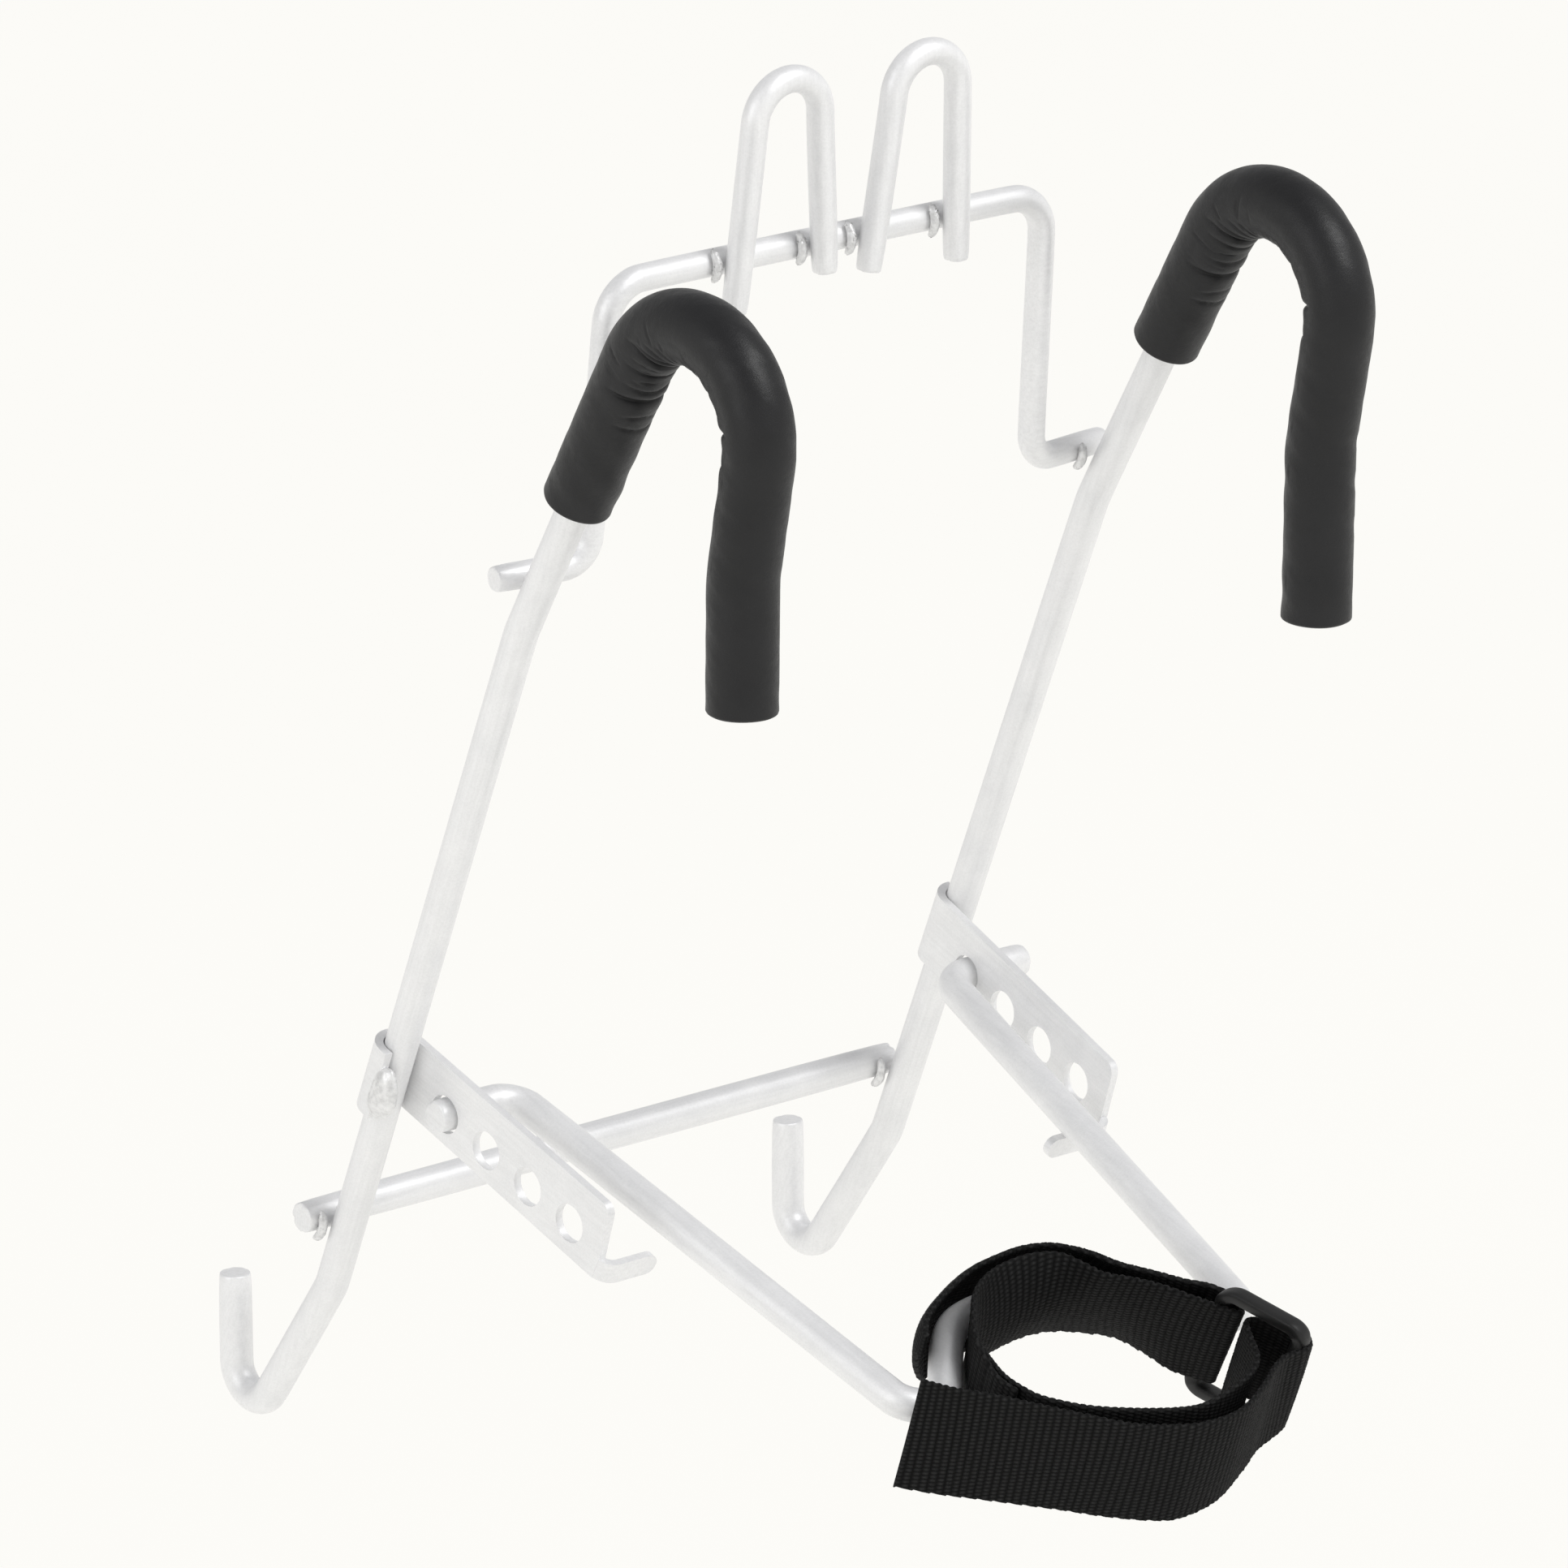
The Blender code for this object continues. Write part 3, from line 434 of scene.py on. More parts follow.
def wrinkled(side, place, angle):
    """The skin's radius and how folded it is, 0 to 1, at each place past the apex in mm and
    each angle from the inside of the bend in degrees."""
    rng = np.random.default_rng(SLEEVE_SEEDS[side])
    s, a = np.meshgrid(place, angle, indexing="ij")
    bend = np.exp(-((place / 38.0) ** 4))[:, None]
    inside = np.clip(1 - (abs(a) / 75) ** 2, 0, 1)
    plump = np.exp(-(((place - 2) / 44.0) ** 6))[:, None]
    radius = FOAM_R * 1000 + BULGE * inside * plump
    # fold: how folded the skin is, 0 to 1, which the foam's colour turns into painted shade in
    # the creases
    fold = np.zeros(s.shape)
    for where, depth, half_width, reach, slant in FOLDS:
        if side == "right":
            where, depth = where + rng.uniform(-1.6, 1.6), depth * rng.uniform(0.7, 1.05)
        line_at = where + slant * 0.12 * (abs(a) / 45.0) ** 1.3
        line_at = line_at + 0.4 * np.sin(np.radians(a) * 3.0 + where)
        fade = np.clip(1 - (abs(a) / reach) ** 2, 0, 1)
        cut = fade * np.exp(-abs(s - line_at) / half_width)
        radius -= depth * cut
        fold = np.maximum(fold, cut * min(1.0, depth / 1.6))
    for _ in range(CREASES):
        where = rng.uniform(-34, 34)
        centre = rng.choice([-1, 1]) * rng.uniform(20, 95)
        reach = rng.uniform(10, 28)
        slope = rng.uniform(-0.05, 0.05) - 0.02 * np.sign(centre) * np.sign(where)
        near = (s - where - slope * (a - centre)) / rng.uniform(0.22, 0.42)
        fade = np.clip(1 - ((a - centre) / reach) ** 2, 0, 1)
        cut = fade * np.exp(-abs(near)) * bend
        depth = rng.uniform(0.2, 0.6)
        radius -= depth * cut
        fold = np.maximum(fold, cut * depth)
    for k in range(RIPPLES):
        pitch, phase, _, _ = rng.uniform(-1, 1, 4)
        wave = s * (0.35 + 0.2 * abs(pitch)) + np.radians(a) * (1 + k % 4) + 6 * phase
        radius += 0.035 * np.sin(wave)
    for cut_end in (place[0], place[-1]):
        from_end = abs(place - cut_end)
        radius -= (CUT_ROUND * np.clip(1 - from_end / CUT_ROUND, 0, 1) ** 2.2)[:, None]
    radius = np.where(inside > 0, radius, np.minimum(radius, FOAM_R * 1000))
    return radius / 1000, fold


def add_sleeve(side, material):
    """A foam tube that wrinkles on the inside of its bend and swells between the folds."""
    walked, line, apex = hook_line(side)
    at, line = evenly(line, walked, SLEEVE_STEP)
    along = np.gradient(line, axis=0)
    along /= np.linalg.norm(along, axis=1)[:, None]
    across = np.array([1.0, 0.0, 0.0])
    inward = np.cross(along, across)
    if inward[int(np.argmin(abs(at - apex)))][2] > 0:
        inward = -inward
    turn = np.linspace(0.0, 2 * math.pi, SLEEVE_SIDES, endpoint=False)
    angle = np.degrees(np.arctan2(np.sin(turn), np.cos(turn)))
    radius, fold = wrinkled(side, (at - apex) * 1000, angle)
    around = np.cos(turn)[None, :, None] * inward[:, None, :]
    around = around + np.sin(turn)[None, :, None] * across
    outside = line[:, None, :] + radius[:, :, None] * around
    bore = line[:, None, :] + (ROD_R + BORE_GAP) * around
    keep = np.unique(np.linspace(0, len(line) - 1, len(line) // 6).astype(int))[::-1]
    rings = np.concatenate([outside, bore[keep]])
    count = len(rings)
    faces = ring_faces(count, SLEEVE_SIDES) + closing_faces(count, SLEEVE_SIDES)
    points, stands_for = rings.reshape(-1, 3), [f"foam_sleeve_{side}"]
    obj = add_mesh(f"foam_{side}", points, faces, material, "carrier", stands_for)
    # painted shade for the folds: how folded the skin is at each point, for the foam's colour to
    # darken
    shade = np.zeros((count, SLEEVE_SIDES))
    shade[: len(line)] = fold
    set_attribute(obj, "painted_fold_shade", shade)


# ---- strap --------------------------------------------------------------------------
AHEAD = Vector((0.0, -math.cos(STRUT_SLOPE), -math.sin(STRUT_SLOPE)))
UP = Vector((0.0, -math.sin(STRUT_SLOPE), math.cos(STRUT_SLOPE)))


def in_strut(x, v, h):
    """Points from mm of the strut's plane: across, along from the hinge, and above it."""
    base = np.array(PIVOT + KINK)
    x, v, h = (np.asarray(value, float)[..., None] / 1000 for value in (x, v, h))
    return base + np.array([1.0, 0.0, 0.0]) * x + np.array(AHEAD) * v + np.array(UP) * h


STRAP_HALF = 16.5  # mm, as are all the sizes below
STRAP_T = 1.35
FLOAT_RISE = 0.42  # how far the weave's floats stand up
RIB = 2.2  # from one column of floats to the next
ROW = 1.2  # from one row to the next
SEAM_IN = 13.5  # from the seam to the strap's outer end
STITCH = 2.4
STRAP_STEP = 0.34
STRAP_COLUMNS = 170
PER_SPAN = 12
LOW = -STRAP_HALF  # height of the bottom edge
NOTCH = 5.4  # the same where the strut passes under the strap

# Each row is one place along the strap: x and v of its top edge, its middle and its bottom
# edge, then the height of the bottom edge.
END_STATIONS = [
    (-40.2, 167.4, -41.9, 170.0, -42.4, 170.6, LOW),
    (-42.9, 174.4, -43.6, 175.0, -44.1, 175.6, LOW),
    (-45.6, 183.5, -45.7, 183.5, -45.7, 184.0, LOW),
    (-44.6, 191.0, -45.5, 191.5, -46.0, 191.8, LOW),
]
STATIONS = [
    (-53.2, 160.4, -53.0, 160.2, -52.8, 160.0, 9.0),
    (-50.6, 157.2, -50.7, 157.0, -50.2, 156.4, 7.5),
    (-47.6, 154.0, -47.8, 152.8, -47.0, 152.4, 4.0),
    (-41.8, 149.8, -41.5, 146.3, -41.0, 148.0, -6.0),
    (-32.0, 144.8, -32.0, 139.0, -32.0, 143.0, LOW),
    (-19.2, 139.6, -20.0, 133.0, -19.2, 138.0, LOW),
    (-8.6, 137.5, -8.0, 131.4, -8.6, 136.0, LOW),
    (0.9, 136.7, 4.0, 131.4, 2.9, 135.5, LOW),
    (9.6, 138.4, 13.0, 131.8, 13.2, 134.6, LOW),
    (15.4, 142.4, 19.5, 135.2, 20.6, 135.4, LOW),
    (19.6, 148.0, 23.0, 143.0, 25.6, 140.6, NOTCH),
    (23.4, 154.4, 25.8, 150.8, 28.4, 148.0, NOTCH),
    (30.6, 161.6, 33.2, 159.4, 35.6, 157.4, -4.0),
    (36.4, 168.0, 39.6, 165.8, 43.2, 161.6, -8.0),
    (41.4, 172.6, 44.4, 169.4, 47.8, 166.0, -2.0),
    (44.4, 177.6, 47.2, 173.6, 50.4, 169.2, LOW),
    (44.0, 184.0, 47.2, 178.8, 50.4, 173.6, LOW),
    (41.4, 186.8, 44.8, 181.8, 48.2, 176.8, LOW),
    (37.9, 182.6, 41.4, 177.6, 44.9, 173.0, LOW),
    (33.4, 175.9, 36.6, 170.0, 40.9, 167.0, LOW),
    (28.1, 167.5, 31.8, 162.6, 39.4, 157.6, LOW),
    (22.1, 161.1, 25.6, 155.6, 36.4, 148.1, LOW),
    (16.2, 156.2, 19.6, 150.4, 29.0, 142.2, LOW),
    (13.6, 149.0, 13.6, 146.6, 21.0, 138.0, LOW),
    (10.0, 142.6, 7.4, 145.2, 12.6, 136.4, LOW),
    (0.7, 139.9, 0.0, 145.0, 3.0, 137.2, LOW),
    (-11.5, 141.2, -9.0, 145.3, -7.0, 139.6, LOW),
    (-19.9, 144.6, -17.4, 146.8, -16.5, 143.8, LOW),
    (-26.4, 149.4, -24.6, 150.6, -23.6, 149.6, LOW),
    (-31.6, 155.4, -30.2, 156.6, -29.4, 156.4, LOW),
    (-36.6, 161.8, -35.4, 162.8, -34.6, 163.0, LOW),
    (-40.2, 168.6, -39.6, 169.2, -39.0, 169.6, LOW),
    (-42.2, 176.0, -41.8, 176.2, -41.2, 176.6, LOW),
    (-43.4, 183.6, -43.2, 184.0, -42.6, 184.0, LOW),
    (-42.2, 190.6, -42.2, 191.2, -41.6, 191.4, LOW),
    (-39.5, 196.5, -39.0, 197.0, -38.0, 197.5, LOW),
    (-30.9, 204.6, -30.0, 205.0, -29.0, 205.6, LOW),
    (-19.6, 210.9, -19.0, 211.0, -18.0, 212.0, LOW),
    (-7.1, 215.9, -6.5, 216.0, -6.0, 216.5, LOW),
    (2.8, 217.3, 4.0, 217.3, 5.0, 217.2, LOW),
    (16.8, 214.0, 17.0, 213.5, 18.0, 213.0, LOW),
    (26.2, 210.2, 27.0, 208.0, 28.5, 206.0, LOW),
    (32.3, 205.1, 34.5, 201.5, 37.5, 198.5, LOW),
    (37.4, 195.4, 40.3, 191.9, 43.8, 188.4, LOW),
    (40.6, 190.8, 43.8, 187.0, 47.2, 183.4, LOW),
    (44.0, 191.2, 47.0, 187.6, 50.2, 184.0, LOW),
    (47.6, 194.6, 50.6, 190.8, 53.4, 187.2, LOW),
    (50.8, 199.0, 54.0, 195.4, 56.6, 191.6, LOW),
    (52.6, 202.6, 55.2, 199.6, 57.0, 196.4, LOW),
    (51.0, 206.4, 53.6, 203.4, 55.6, 200.0, LOW),
    (47.0, 208.6, 49.8, 206.0, 52.0, 203.0, LOW),
    (40.0, 208.6, 42.8, 207.0, 45.5, 205.4, LOW),
    (33.0, 211.7, 35.6, 210.0, 37.6, 208.2, LOW),
    (26.0, 216.3, 26.8, 215.3, 27.8, 213.8, LOW),
    (10.8, 223.7, 11.0, 223.0, 11.2, 221.9, LOW),
    (-3.4, 224.6, -3.7, 224.8, -4.0, 224.2, LOW),
    (-14.1, 221.6, -13.6, 222.0, -13.0, 221.5, LOW),
    (-24.2, 216.5, -24.1, 216.2, -24.0, 214.8, LOW),
    (-33.7, 208.0, -33.6, 208.4, -33.5, 207.6, LOW),
    (-42.2, 199.9, -42.3, 200.8, -42.5, 201.3, LOW),
    (-52.0, 190.5, -52.7, 192.2, -53.5, 193.5, LOW),
    (-60.8, 183.3, -61.6, 185.4, -62.5, 187.3, LOW),
    (-67.5, 175.9, -69.8, 177.9, -72.0, 179.5, LOW),
]


def floats(along, across, deep):
    """Height of the weave's floats, 0 to 1: columns of slanting ovals, set like bricks."""
    column = np.floor(along / RIB)
    u = along / RIB - column - 0.5
    w = across / ROW + 0.5 * (column % 2) + 0.22 * u
    w = w - np.floor(w) - 0.5
    oval = np.sqrt(np.clip(1 - (u / 0.52) ** 2, 0, 1)) ** deep
    return oval * (0.15 + 0.85 * np.sqrt(np.clip(1 - (w / 0.53) ** 2, 0, 1)))


def strap_surface(stations):
    """The strip's middle surface in mm: distance along it, height, place and normal."""
    rows = catmull(stations, PER_SPAN)
    rows[:, 6] = np.interp(
        np.arange(len(rows)) / PER_SPAN, np.arange(len(stations)), [row[6] for row in stations]
    )
    middle = in_strut(rows[:, 2], rows[:, 3], np.zeros(len(rows)))
    at, rows = evenly(rows, walked_along(middle * 1000), STRAP_STEP)
    t = np.linspace(-1.0, 1.0, STRAP_COLUMNS)
    low = rows[:, 6] + 0.2 - 0.45 * (1 - ((at / (2 * RIB)) % 1.0)) ** 0.7
    high = STRAP_HALF - 0.2 + 0.42 * abs(np.sin(math.pi * at / RIB))
    h = low[:, None] + (high - low)[:, None] * (t[None, :] + 1) / 2
    weights = (t * (t + 1) / 2, 1 - t * t, t * (t - 1) / 2)
    x = sum(rows[:, i : i + 1] * weight for i, weight in zip((0, 2, 4), weights))
    v = sum(rows[:, i : i + 1] * weight for i, weight in zip((1, 3, 5), weights))
    surface = in_strut(x, v, h) * 1000
    normal = np.cross(np.gradient(surface, axis=0), np.gradient(surface, axis=1))
    normal /= np.linalg.norm(normal, axis=2)[:, :, None]
    return at, h, surface, normal


def weave(at, h):
    """How far the two faces stand off the middle surface in mm, and the weave's height there:
    thin at the edges and ends, with a stitched seam near the outer end."""
    across = h + STRAP_HALF
    grid_at = np.repeat(at[:, None], STRAP_COLUMNS, axis=1)
    front = floats(grid_at, across, 0.5)
    back = floats(grid_at + RIB / 2, across, 1.0)
    tail = at[-1] - at
    seam = np.exp(-(((tail - SEAM_IN) / 0.9) ** 2))[:, None]
    stitch = 0.5 + 0.5 * np.cos(2 * math.pi * across / STITCH)
    front = front * (1 - 0.7 * seam) + 0.5 * seam * stitch
    t = np.linspace(-1.0, 1.0, STRAP_COLUMNS)
    rim = np.minimum(t + 1, 1 - t) * STRAP_HALF
    taper = np.sqrt(np.clip(1 - np.clip(1 - rim / 0.8, 0, 1) ** 2, 0.06, 1))
    end = np.clip(np.minimum(at, tail) / 0.5, 0.35, 1)[:, None]
    half = STRAP_T / 2 - 0.20
    uneven = 0.05 * np.random.default_rng(5).standard_normal(h.shape)
    up_side = (half + FLOAT_RISE * front + uneven - 0.18 * seam) * taper[None, :] * end
    low_side = (half + FLOAT_RISE * back + uneven) * taper[None, :] * end
    return up_side, low_side, front, back


def add_strap(name, stations, stands_for, material):
    """A woven strip on edge along its stations; the last one is a cut and seamed end."""
    at, h, surface, normal = strap_surface(stations)
    up_side, low_side, front, back = weave(at, h)
    outer = surface + normal * up_side[:, :, None]
    inner = surface - normal * low_side[:, :, None]
    rings = np.concatenate([outer, inner[:, ::-1]], axis=1) / 1000
    sides = 2 * STRAP_COLUMNS
    faces = ring_faces(len(at), sides)
    last = (len(at) - 1) * sides
    for j in range(STRAP_COLUMNS - 1):
        faces.append((j, sides - 1 - j, sides - 2 - j, j + 1))
        faces.append((last + j, last + j + 1, last + sides - 2 - j, last + sides - 1 - j))
    points = rings.reshape(-1, 3)
    obj = add_mesh(name, points, faces, material, "strut_arm", stands_for)
    width = h[0] + STRAP_HALF
    set_uv(obj, np.concatenate([width, width[::-1]]) / 1000, at / 1000, sides)
    # the weave's height, from which the webbing paints highlights on the floats and shade in the
    # gaps
    set_attribute(obj, "float_height", np.concatenate([front, back[:, ::-1]], axis=1))
    return outer / 1000, normal


FIBRE_R = 0.000028
FIBRE_STEPS = 7
FACE_FIBRES = 420
EDGE_FIBRES = 260


def add_fibres(surface, normal, material):
    """Loose pile fibres on the inside of the strap's first stretch and along its top edge."""
    rng = np.random.default_rng(21)
    points, faces = [], []
    length = len(surface)

    def fibre(start, way, reach, curl):
        way = way / np.linalg.norm(way)
        side = np.cross(way, rng.standard_normal(3))
        side /= np.linalg.norm(side)
        other = np.cross(way, side)
        first = len(points)
        for i in range(FIBRE_STEPS):
            share = i / (FIBRE_STEPS - 1)
            centre = start + way * reach * share + side * curl * math.sin(share * 2.6)
            for k in range(3):
                turn = 2 * math.pi * k / 3
                out = side * math.cos(turn) + other * math.sin(turn)
                points.append(centre + out * FIBRE_R)
        for i in range(FIBRE_STEPS - 1):
            for k in range(3):
                a, b = first + 3 * i + k, first + 3 * i + (k + 1) % 3
                faces.append((a, b, b + 3, a + 3))
        faces.append((first, first + 2, first + 1))
        end = first + 3 * (FIBRE_STEPS - 1)
        faces.append((end, end + 1, end + 2))

    for _ in range(FACE_FIBRES):
        i = int(rng.uniform(0.0, 0.16) * length)
        j = int(rng.uniform(0.55, 0.99) * surface.shape[1])
        way = -normal[i, j] + rng.standard_normal(3) * 0.7
        fibre(surface[i, j], way, rng.uniform(0.0006, 0.0018), rng.uniform(-0.0006, 0.0006))
    for _ in range(EDGE_FIBRES):
        i = int(rng.uniform(0.02, 0.98) * length)
        way = np.array(UP) + rng.standard_normal(3) * 0.9
        fibre(surface[i, -2], way, rng.uniform(0.0003, 0.0009), rng.uniform(-0.0004, 0.0004))
    add_mesh("strap_fibres", np.array(points), faces, material, "strut_arm", [])


# ---- ring ---------------------------------------------------------------------------
RING_CENTRE = (47.2, 188.5)  # mm, in the strut's plane
RING_TURN = math.radians(16.5)
RING_LEAN = (-0.17, 0.27)  # how far its x and v move for each mm up
RING_HALF = (13.0, 20.75)  # mm, of the loop that its section's centre follows
RING_CORNER = 4.5
RING_SIDES = 40
RING_SQUARENESS = 0.62  # 1 is a round section, 0 a square one


def ring_loop():
    """The rounded rectangle that the section follows: place and facing, once round."""
    half_long, half_tall = RING_HALF
    outline = []
    for sx, sy in ((1, 1), (-1, 1), (-1, -1), (1, -1)):
        middle = math.atan2(sy, sx)
        for i in range(13):
            turn = middle - math.pi / 4 + math.pi / 2 * i / 12
            across = sx * (half_long - RING_CORNER) + RING_CORNER * math.cos(turn)
            tall = sy * (half_tall - RING_CORNER) + RING_CORNER * math.sin(turn)
            outline.append((across, tall, turn))
    loop = np.array(outline + outline[:1])
    loop[-1, 2] += 2 * math.pi
    loop[:, 2] = np.unwrap(loop[:, 2])
    _, loop = evenly(loop, walked_along(loop[:, :2]), 0.45)
    return loop[:-1]


def add_ring(material):
    """A moulded rectangular loop, thickest in its two short bars."""
    loop = ring_loop()
    section = np.linspace(0, 2 * math.pi, RING_SIDES, endpoint=False)
    cos, sin = np.cos(section), np.sin(section)
    broad = np.clip((abs(loop[:, 1]) - 14.0) / 5.0, 0, 1) ** 2
    wide = (2.5 - 0.2 * broad)[:, None] * (np.sign(cos) * abs(cos) ** RING_SQUARENESS)
    thick = (2.0 + 0.95 * broad)[:, None] * (np.sign(sin) * abs(sin) ** RING_SQUARENESS)
    along = loop[:, 0:1] + wide * np.cos(loop[:, 2:3])
    tall = loop[:, 1:2] + wide * np.sin(loop[:, 2:3])
    turn_cos, turn_sin = math.cos(RING_TURN), math.sin(RING_TURN)
    x = RING_CENTRE[0] + thick * turn_cos + along * turn_sin + RING_LEAN[0] * tall
    v = RING_CENTRE[1] - thick * turn_sin + along * turn_cos + RING_LEAN[1] * tall
    points = in_strut(x, v, tall).reshape(-1, 3)
    faces = ring_faces(len(loop), RING_SIDES) + closing_faces(len(loop), RING_SIDES)
    add_mesh("ring", points, faces, material, "strut_arm", ["strap_ring"])


# ---- welds --------------------------------------------------------------------------
WELD_VOXEL = 0.00022
WELD_LUMP = 0.00022
WELD_SWELL = 0.00035
LATCH_BEAD_HALF = 0.0098
# half sizes of the latch welds: across, front to back, along the rod
PUDDLE = {"left": (0.0031, 0.0052, 0.0092), "right": (0.0020, 0.0036, 0.0050)}
PUDDLE_SHIFT = 0.0006  # towards the rod from the CAD bead's middle
PUDDLE_GRID = (60, 72)


def add_weld(node, material):
    """The CAD bead, refined and made lumpy, as puddled weld metal is."""
    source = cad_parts[node]
    mesh = source.data.copy()
    obj = bpy.data.objects.new(node.replace("weld", "bead"), mesh)
    bpy.context.scene.collection.objects.link(obj)
    finer = obj.modifiers.new("finer", "REMESH")
    finer.mode = "VOXEL"
    finer.voxel_size = WELD_VOXEL
    finer.use_smooth_shade = True
    softer = obj.modifiers.new("softer", "SMOOTH")
    softer.factor = 0.5
    softer.iterations = 6
    graph = bpy.context.evaluated_depsgraph_get()
    baked = bpy.data.meshes.new_from_object(obj.evaluated_get(graph))
    obj.modifiers.clear()
    obj.data = baked
    baked.materials.clear()
    baked.materials.append(material)
    for vertex in baked.vertices:
        lump = noise.noise(vertex.co * 420.0) + 0.5 * noise.noise(vertex.co * 1100.0)
        vertex.co += vertex.normal * (WELD_LUMP * lump + WELD_SWELL)
    baked.shade_smooth()
    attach(obj, "carrier")
    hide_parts(node)


def add_puddle(side, material):
    """The latch plate's weld: a smooth lump between its rolled end and the side rod."""
    node = f"weld_latch_{side}"
    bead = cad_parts[node]
    corners = np.array([bead.matrix_world @ vertex.co for vertex in bead.data.vertices])
    wide, deep, tall = PUDDLE[side]
    up = lean(ROD_LEAN)
    back = Vector((0.0, math.cos(ROD_LEAN), math.sin(ROD_LEAN)))
    middle = Vector((corners.min(axis=0) + corners.max(axis=0)) / 2)
    middle.x -= SIDES[side] * PUDDLE_SHIFT
    middle -= up * (LATCH_BEAD_HALF - tall)
    rings, sides = PUDDLE_GRID
    points = []
    for i in range(1, rings):
        polar = math.pi * i / rings
        for j in range(sides):
            turn = 2 * math.pi * j / sides
            place = Vector((math.sin(polar) * math.cos(turn) * wide, 0.0, 0.0))
            place += back * (math.sin(polar) * math.sin(turn) * deep)
            place += up * (math.cos(polar) * tall)
            lump = noise.noise((middle + place) * 190.0) + 0.25 * noise.noise(place * 520.0)
            points.append(middle + place * (1.0 + 0.14 * lump))
    top, bottom = len(points), len(points) + 1
    points += [middle + up * tall, middle - up * tall]
    faces = [face[::-1] for face in ring_faces(rings - 1, sides)]
    lowest = (rings - 2) * sides
    for j in range(sides):
        k = (j + 1) % sides
        faces.append((top, j, k))
        faces.append((bottom, lowest + k, lowest + j))
    add_mesh(f"puddle_{side}", points, faces, material, "carrier", [node])


# ---- stage --------------------------------------------------------------------------
FLOOR_HALF = 40.0
FLOOR_DROP = 0.55  # below the rack, which hangs
SKY_DOWN, SKY_UP = (1.0, 0.995, 0.98, 1.0), (0.50, 0.50, 0.51, 1.0)


def add_floor():
    """A plain floor, lit evenly by its own pale glow."""
    made = Shader("floor_look")
    tone = made.noise(made.places(), 1.5, 2.0)
    shade = made.ramp(tone, (0.3, (0.930, 0.921, 0.889)), (0.7, (0.934, 0.925, 0.893)))
    made.set(Base_Color=(0.04, 0.04, 0.039, 1.0), Roughness=0.9, Specular_IOR_Level=0.0)
    made.set(Emission_Color=shade, Emission_Strength=1.02)
    half, low = FLOOR_HALF, CAD_BOX[0].z - FLOOR_DROP
    points = [(-half, -half, low), (half, -half, low), (half, half, low), (-half, half, low)]
    mesh = bpy.data.meshes.new("floor")
    mesh.from_pydata(points, [], [(0, 1, 2, 3)])
    mesh.materials.append(made.material)
    floor = bpy.data.objects.new("floor", mesh)
    bpy.context.scene.collection.objects.link(floor)


def add_light(name, place, target, size, power):
    """A square soft box that faces its target."""
    light = bpy.data.lights.new(name, "AREA")
    light.shape = "RECTANGLE"
    light.size = light.size_y = size
    light.energy = power
    obj = bpy.data.objects.new(name, light)
    obj.location = place
    obj.rotation_euler = (target - place).to_track_quat("-Z", "Y").to_euler()
    bpy.context.scene.collection.objects.link(obj)


def add_world():
    """White light from below and the sides, greyer from straight above."""
    world = bpy.data.worlds.new("studio")
    bpy.context.scene.world = world
    world.use_nodes = True
    tree = world.node_tree
    background = tree.nodes["Background"]
    where = tree.nodes.new("ShaderNodeTexCoord")
    split = tree.nodes.new("ShaderNodeSeparateXYZ")
    tree.links.new(where.outputs["Generated"], split.inputs[0])
    ramp = tree.nodes.new("ShaderNodeValToRGB")
    low, high = ramp.color_ramp.elements
    low.position, low.color = 0.0, SKY_DOWN
    high.position, high.color = 0.85, SKY_UP
    tree.links.new(split.outputs["Z"], ramp.inputs["Fac"])
    tree.links.new(ramp.outputs["Color"], background.inputs["Color"])
    background.inputs["Strength"].default_value = 0.80


CAMERA_AZ = math.radians(-39.63)
CAMERA_EL = math.radians(17.69)
CAMERA_LENS = 243.65
CAMERA_SENSOR = 36.0
CAMERA_OFF = (0.04977, 0.12432, 3.1311)  # from the kink: to the right, up and back


def camera_axes():
    """Towards the camera, to its right and over its top."""
    back = Vector(
        (
            math.sin(CAMERA_AZ) * math.cos(CAMERA_EL),
            -math.cos(CAMERA_AZ) * math.cos(CAMERA_EL),
            math.sin(CAMERA_EL),
        )
    )
    right = Vector((math.cos(CAMERA_AZ), math.sin(CAMERA_AZ), 0.0))
    return back, right, back.cross(right)


def add_camera():
    """The photograph's view of the rack."""
    back, right, over = camera_axes()
    data = bpy.data.cameras.new("camera")
    data.lens = CAMERA_LENS
    data.sensor_width = CAMERA_SENSOR
    camera = bpy.data.objects.new("camera", data)
    camera.location = KINK + right * CAMERA_OFF[0] + over * CAMERA_OFF[1] + back * CAMERA_OFF[2]
    camera.rotation_mode = "QUATERNION"
    camera.rotation_quaternion = back.to_track_quat("Z", "Y")
    bpy.context.scene.collection.objects.link(camera)
    bpy.context.scene.camera = camera


# ---- metal --------------------------------------------------------------------------
PLATE_ROUNDING = 0.00035
END_CREASE = 0.78  # how sharp a rod's cut ends stay


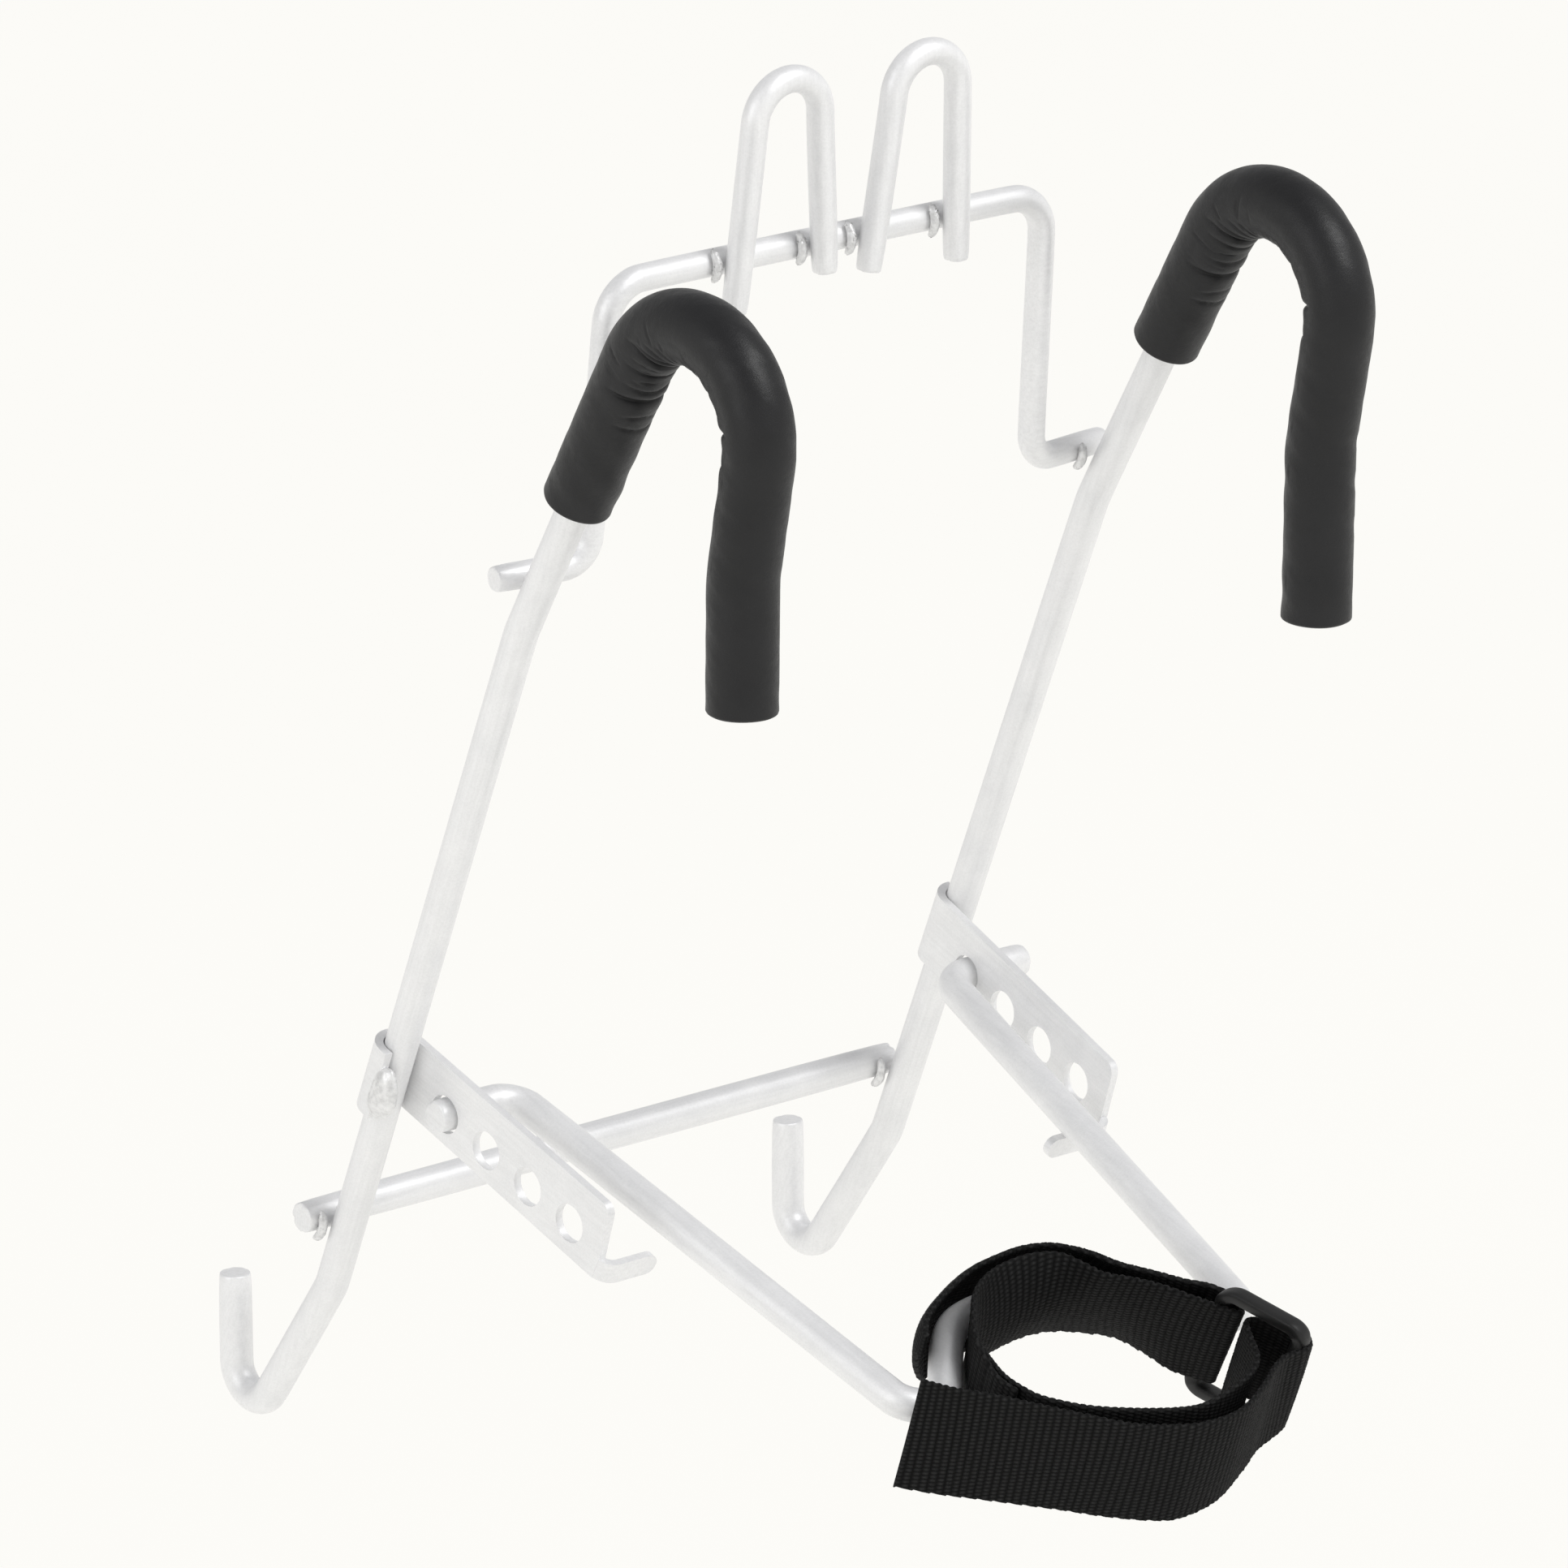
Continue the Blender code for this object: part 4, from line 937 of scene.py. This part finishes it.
def refined(node, finish, body, rounding):
    """A finer copy of a CAD part: a rod is subdivided, a plate has its edges rounded."""
    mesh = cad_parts[node].data.copy()
    work = bmesh.new()
    work.from_mesh(mesh)
    bmesh.ops.remove_doubles(work, verts=work.verts, dist=1e-6)
    if rounding is None:
        bmesh.ops.join_triangles(
            work, faces=work.faces, angle_face_threshold=0.6, angle_shape_threshold=3.0
        )
        layer = work.edges.layers.float.new("crease_edge")
        for edge in work.edges:
            if edge.calc_face_angle(0.0) > math.radians(50):
                edge[layer] = END_CREASE
    else:
        bmesh.ops.dissolve_limit(
            work, angle_limit=math.radians(1), verts=work.verts, edges=work.edges
        )
    work.to_mesh(mesh)
    work.free()
    mesh.materials.clear()
    mesh.materials.append(finish)
    obj = bpy.data.objects.new(node + "_smooth", mesh)
    obj.matrix_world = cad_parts[node].matrix_world
    bpy.context.scene.collection.objects.link(obj)
    if rounding is None:
        finer = obj.modifiers.new("finer", "SUBSURF")
        finer.levels = finer.render_levels = 2
    else:
        edges = obj.modifiers.new("edges", "BEVEL")
        edges.width = rounding
        edges.segments = 3
        edges.limit_method = "ANGLE"
        edges.angle_limit = math.radians(40)
        edges.harden_normals = True
    mesh.shade_smooth()
    if rounding is not None:
        mesh.set_sharp_from_angle(angle=math.radians(32))
    graph = bpy.context.evaluated_depsgraph_get()
    baked = bpy.data.meshes.new_from_object(obj.evaluated_get(graph))
    obj.modifiers.clear()
    obj.data = baked
    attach(obj, body)
    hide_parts(node)


def dress_metal():
    """Zinc on the rods and plates; each has its drawing lines along its own length."""
    rod = zinc("zinc_rod", (ROD_LEAN, 0.0, 0.0), "Z")
    bar = zinc("zinc_bar", along="X")
    wire = zinc("zinc_wire")
    leg = zinc("zinc_leg", (STRUT_SLOPE, 0.0, 0.0), "Y")
    plate = zinc("zinc_plate_look", (STRUT_SLOPE, 0.0, 0.0), "Y", rough=0.42, grain=0.6)
    for side in SIDES:
        refined(f"side_rod_{side}", rod, "carrier", None)
        refined(f"loop_{side}", wire, "carrier", None)
        refined(f"latch_plate_{side}", plate, "carrier", PLATE_ROUNDING)
    refined("crossbar", bar, "carrier", None)
    refined("upper_frame", bar, "carrier", None)
    refined("strut", leg, "strut_arm", None)


# ---- the whole ----------------------------------------------------------------------
def main():
    bpy.context.scene.view_settings.view_transform = "Standard"
    add_camera()
    add_world()
    add_floor()
    back, right, over = camera_axes()
    rack = Vector((0.0, 0.0, -0.15))
    add_light("key", back * 1.2 + right * 1.3 + over * 1.5, rack, 0.8, 30.0)
    add_light("fill", back * 1.6 - right * 1.8 + over * 0.3, rack, 1.4, 11.0)
    dress_metal()
    foam = foam_look()
    for side in SIDES:
        add_sleeve(side, foam)
    webbing = webbing_look()
    add_ring(plastic_look())
    straps = ["strap_back", "strap_front", "strap_tail"]
    add_strap("strap_end", END_STATIONS, ["strap_start"], webbing)
    outer, normal = add_strap("strap", STATIONS, straps, webbing)
    add_fibres(outer, normal, fibre_look())
    weld = weld_metal()
    for side in SIDES:
        add_puddle(side, weld)
    for node in sorted(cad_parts):
        if node.startswith("weld_") and "latch" not in node:
            add_weld(node, weld)


main()
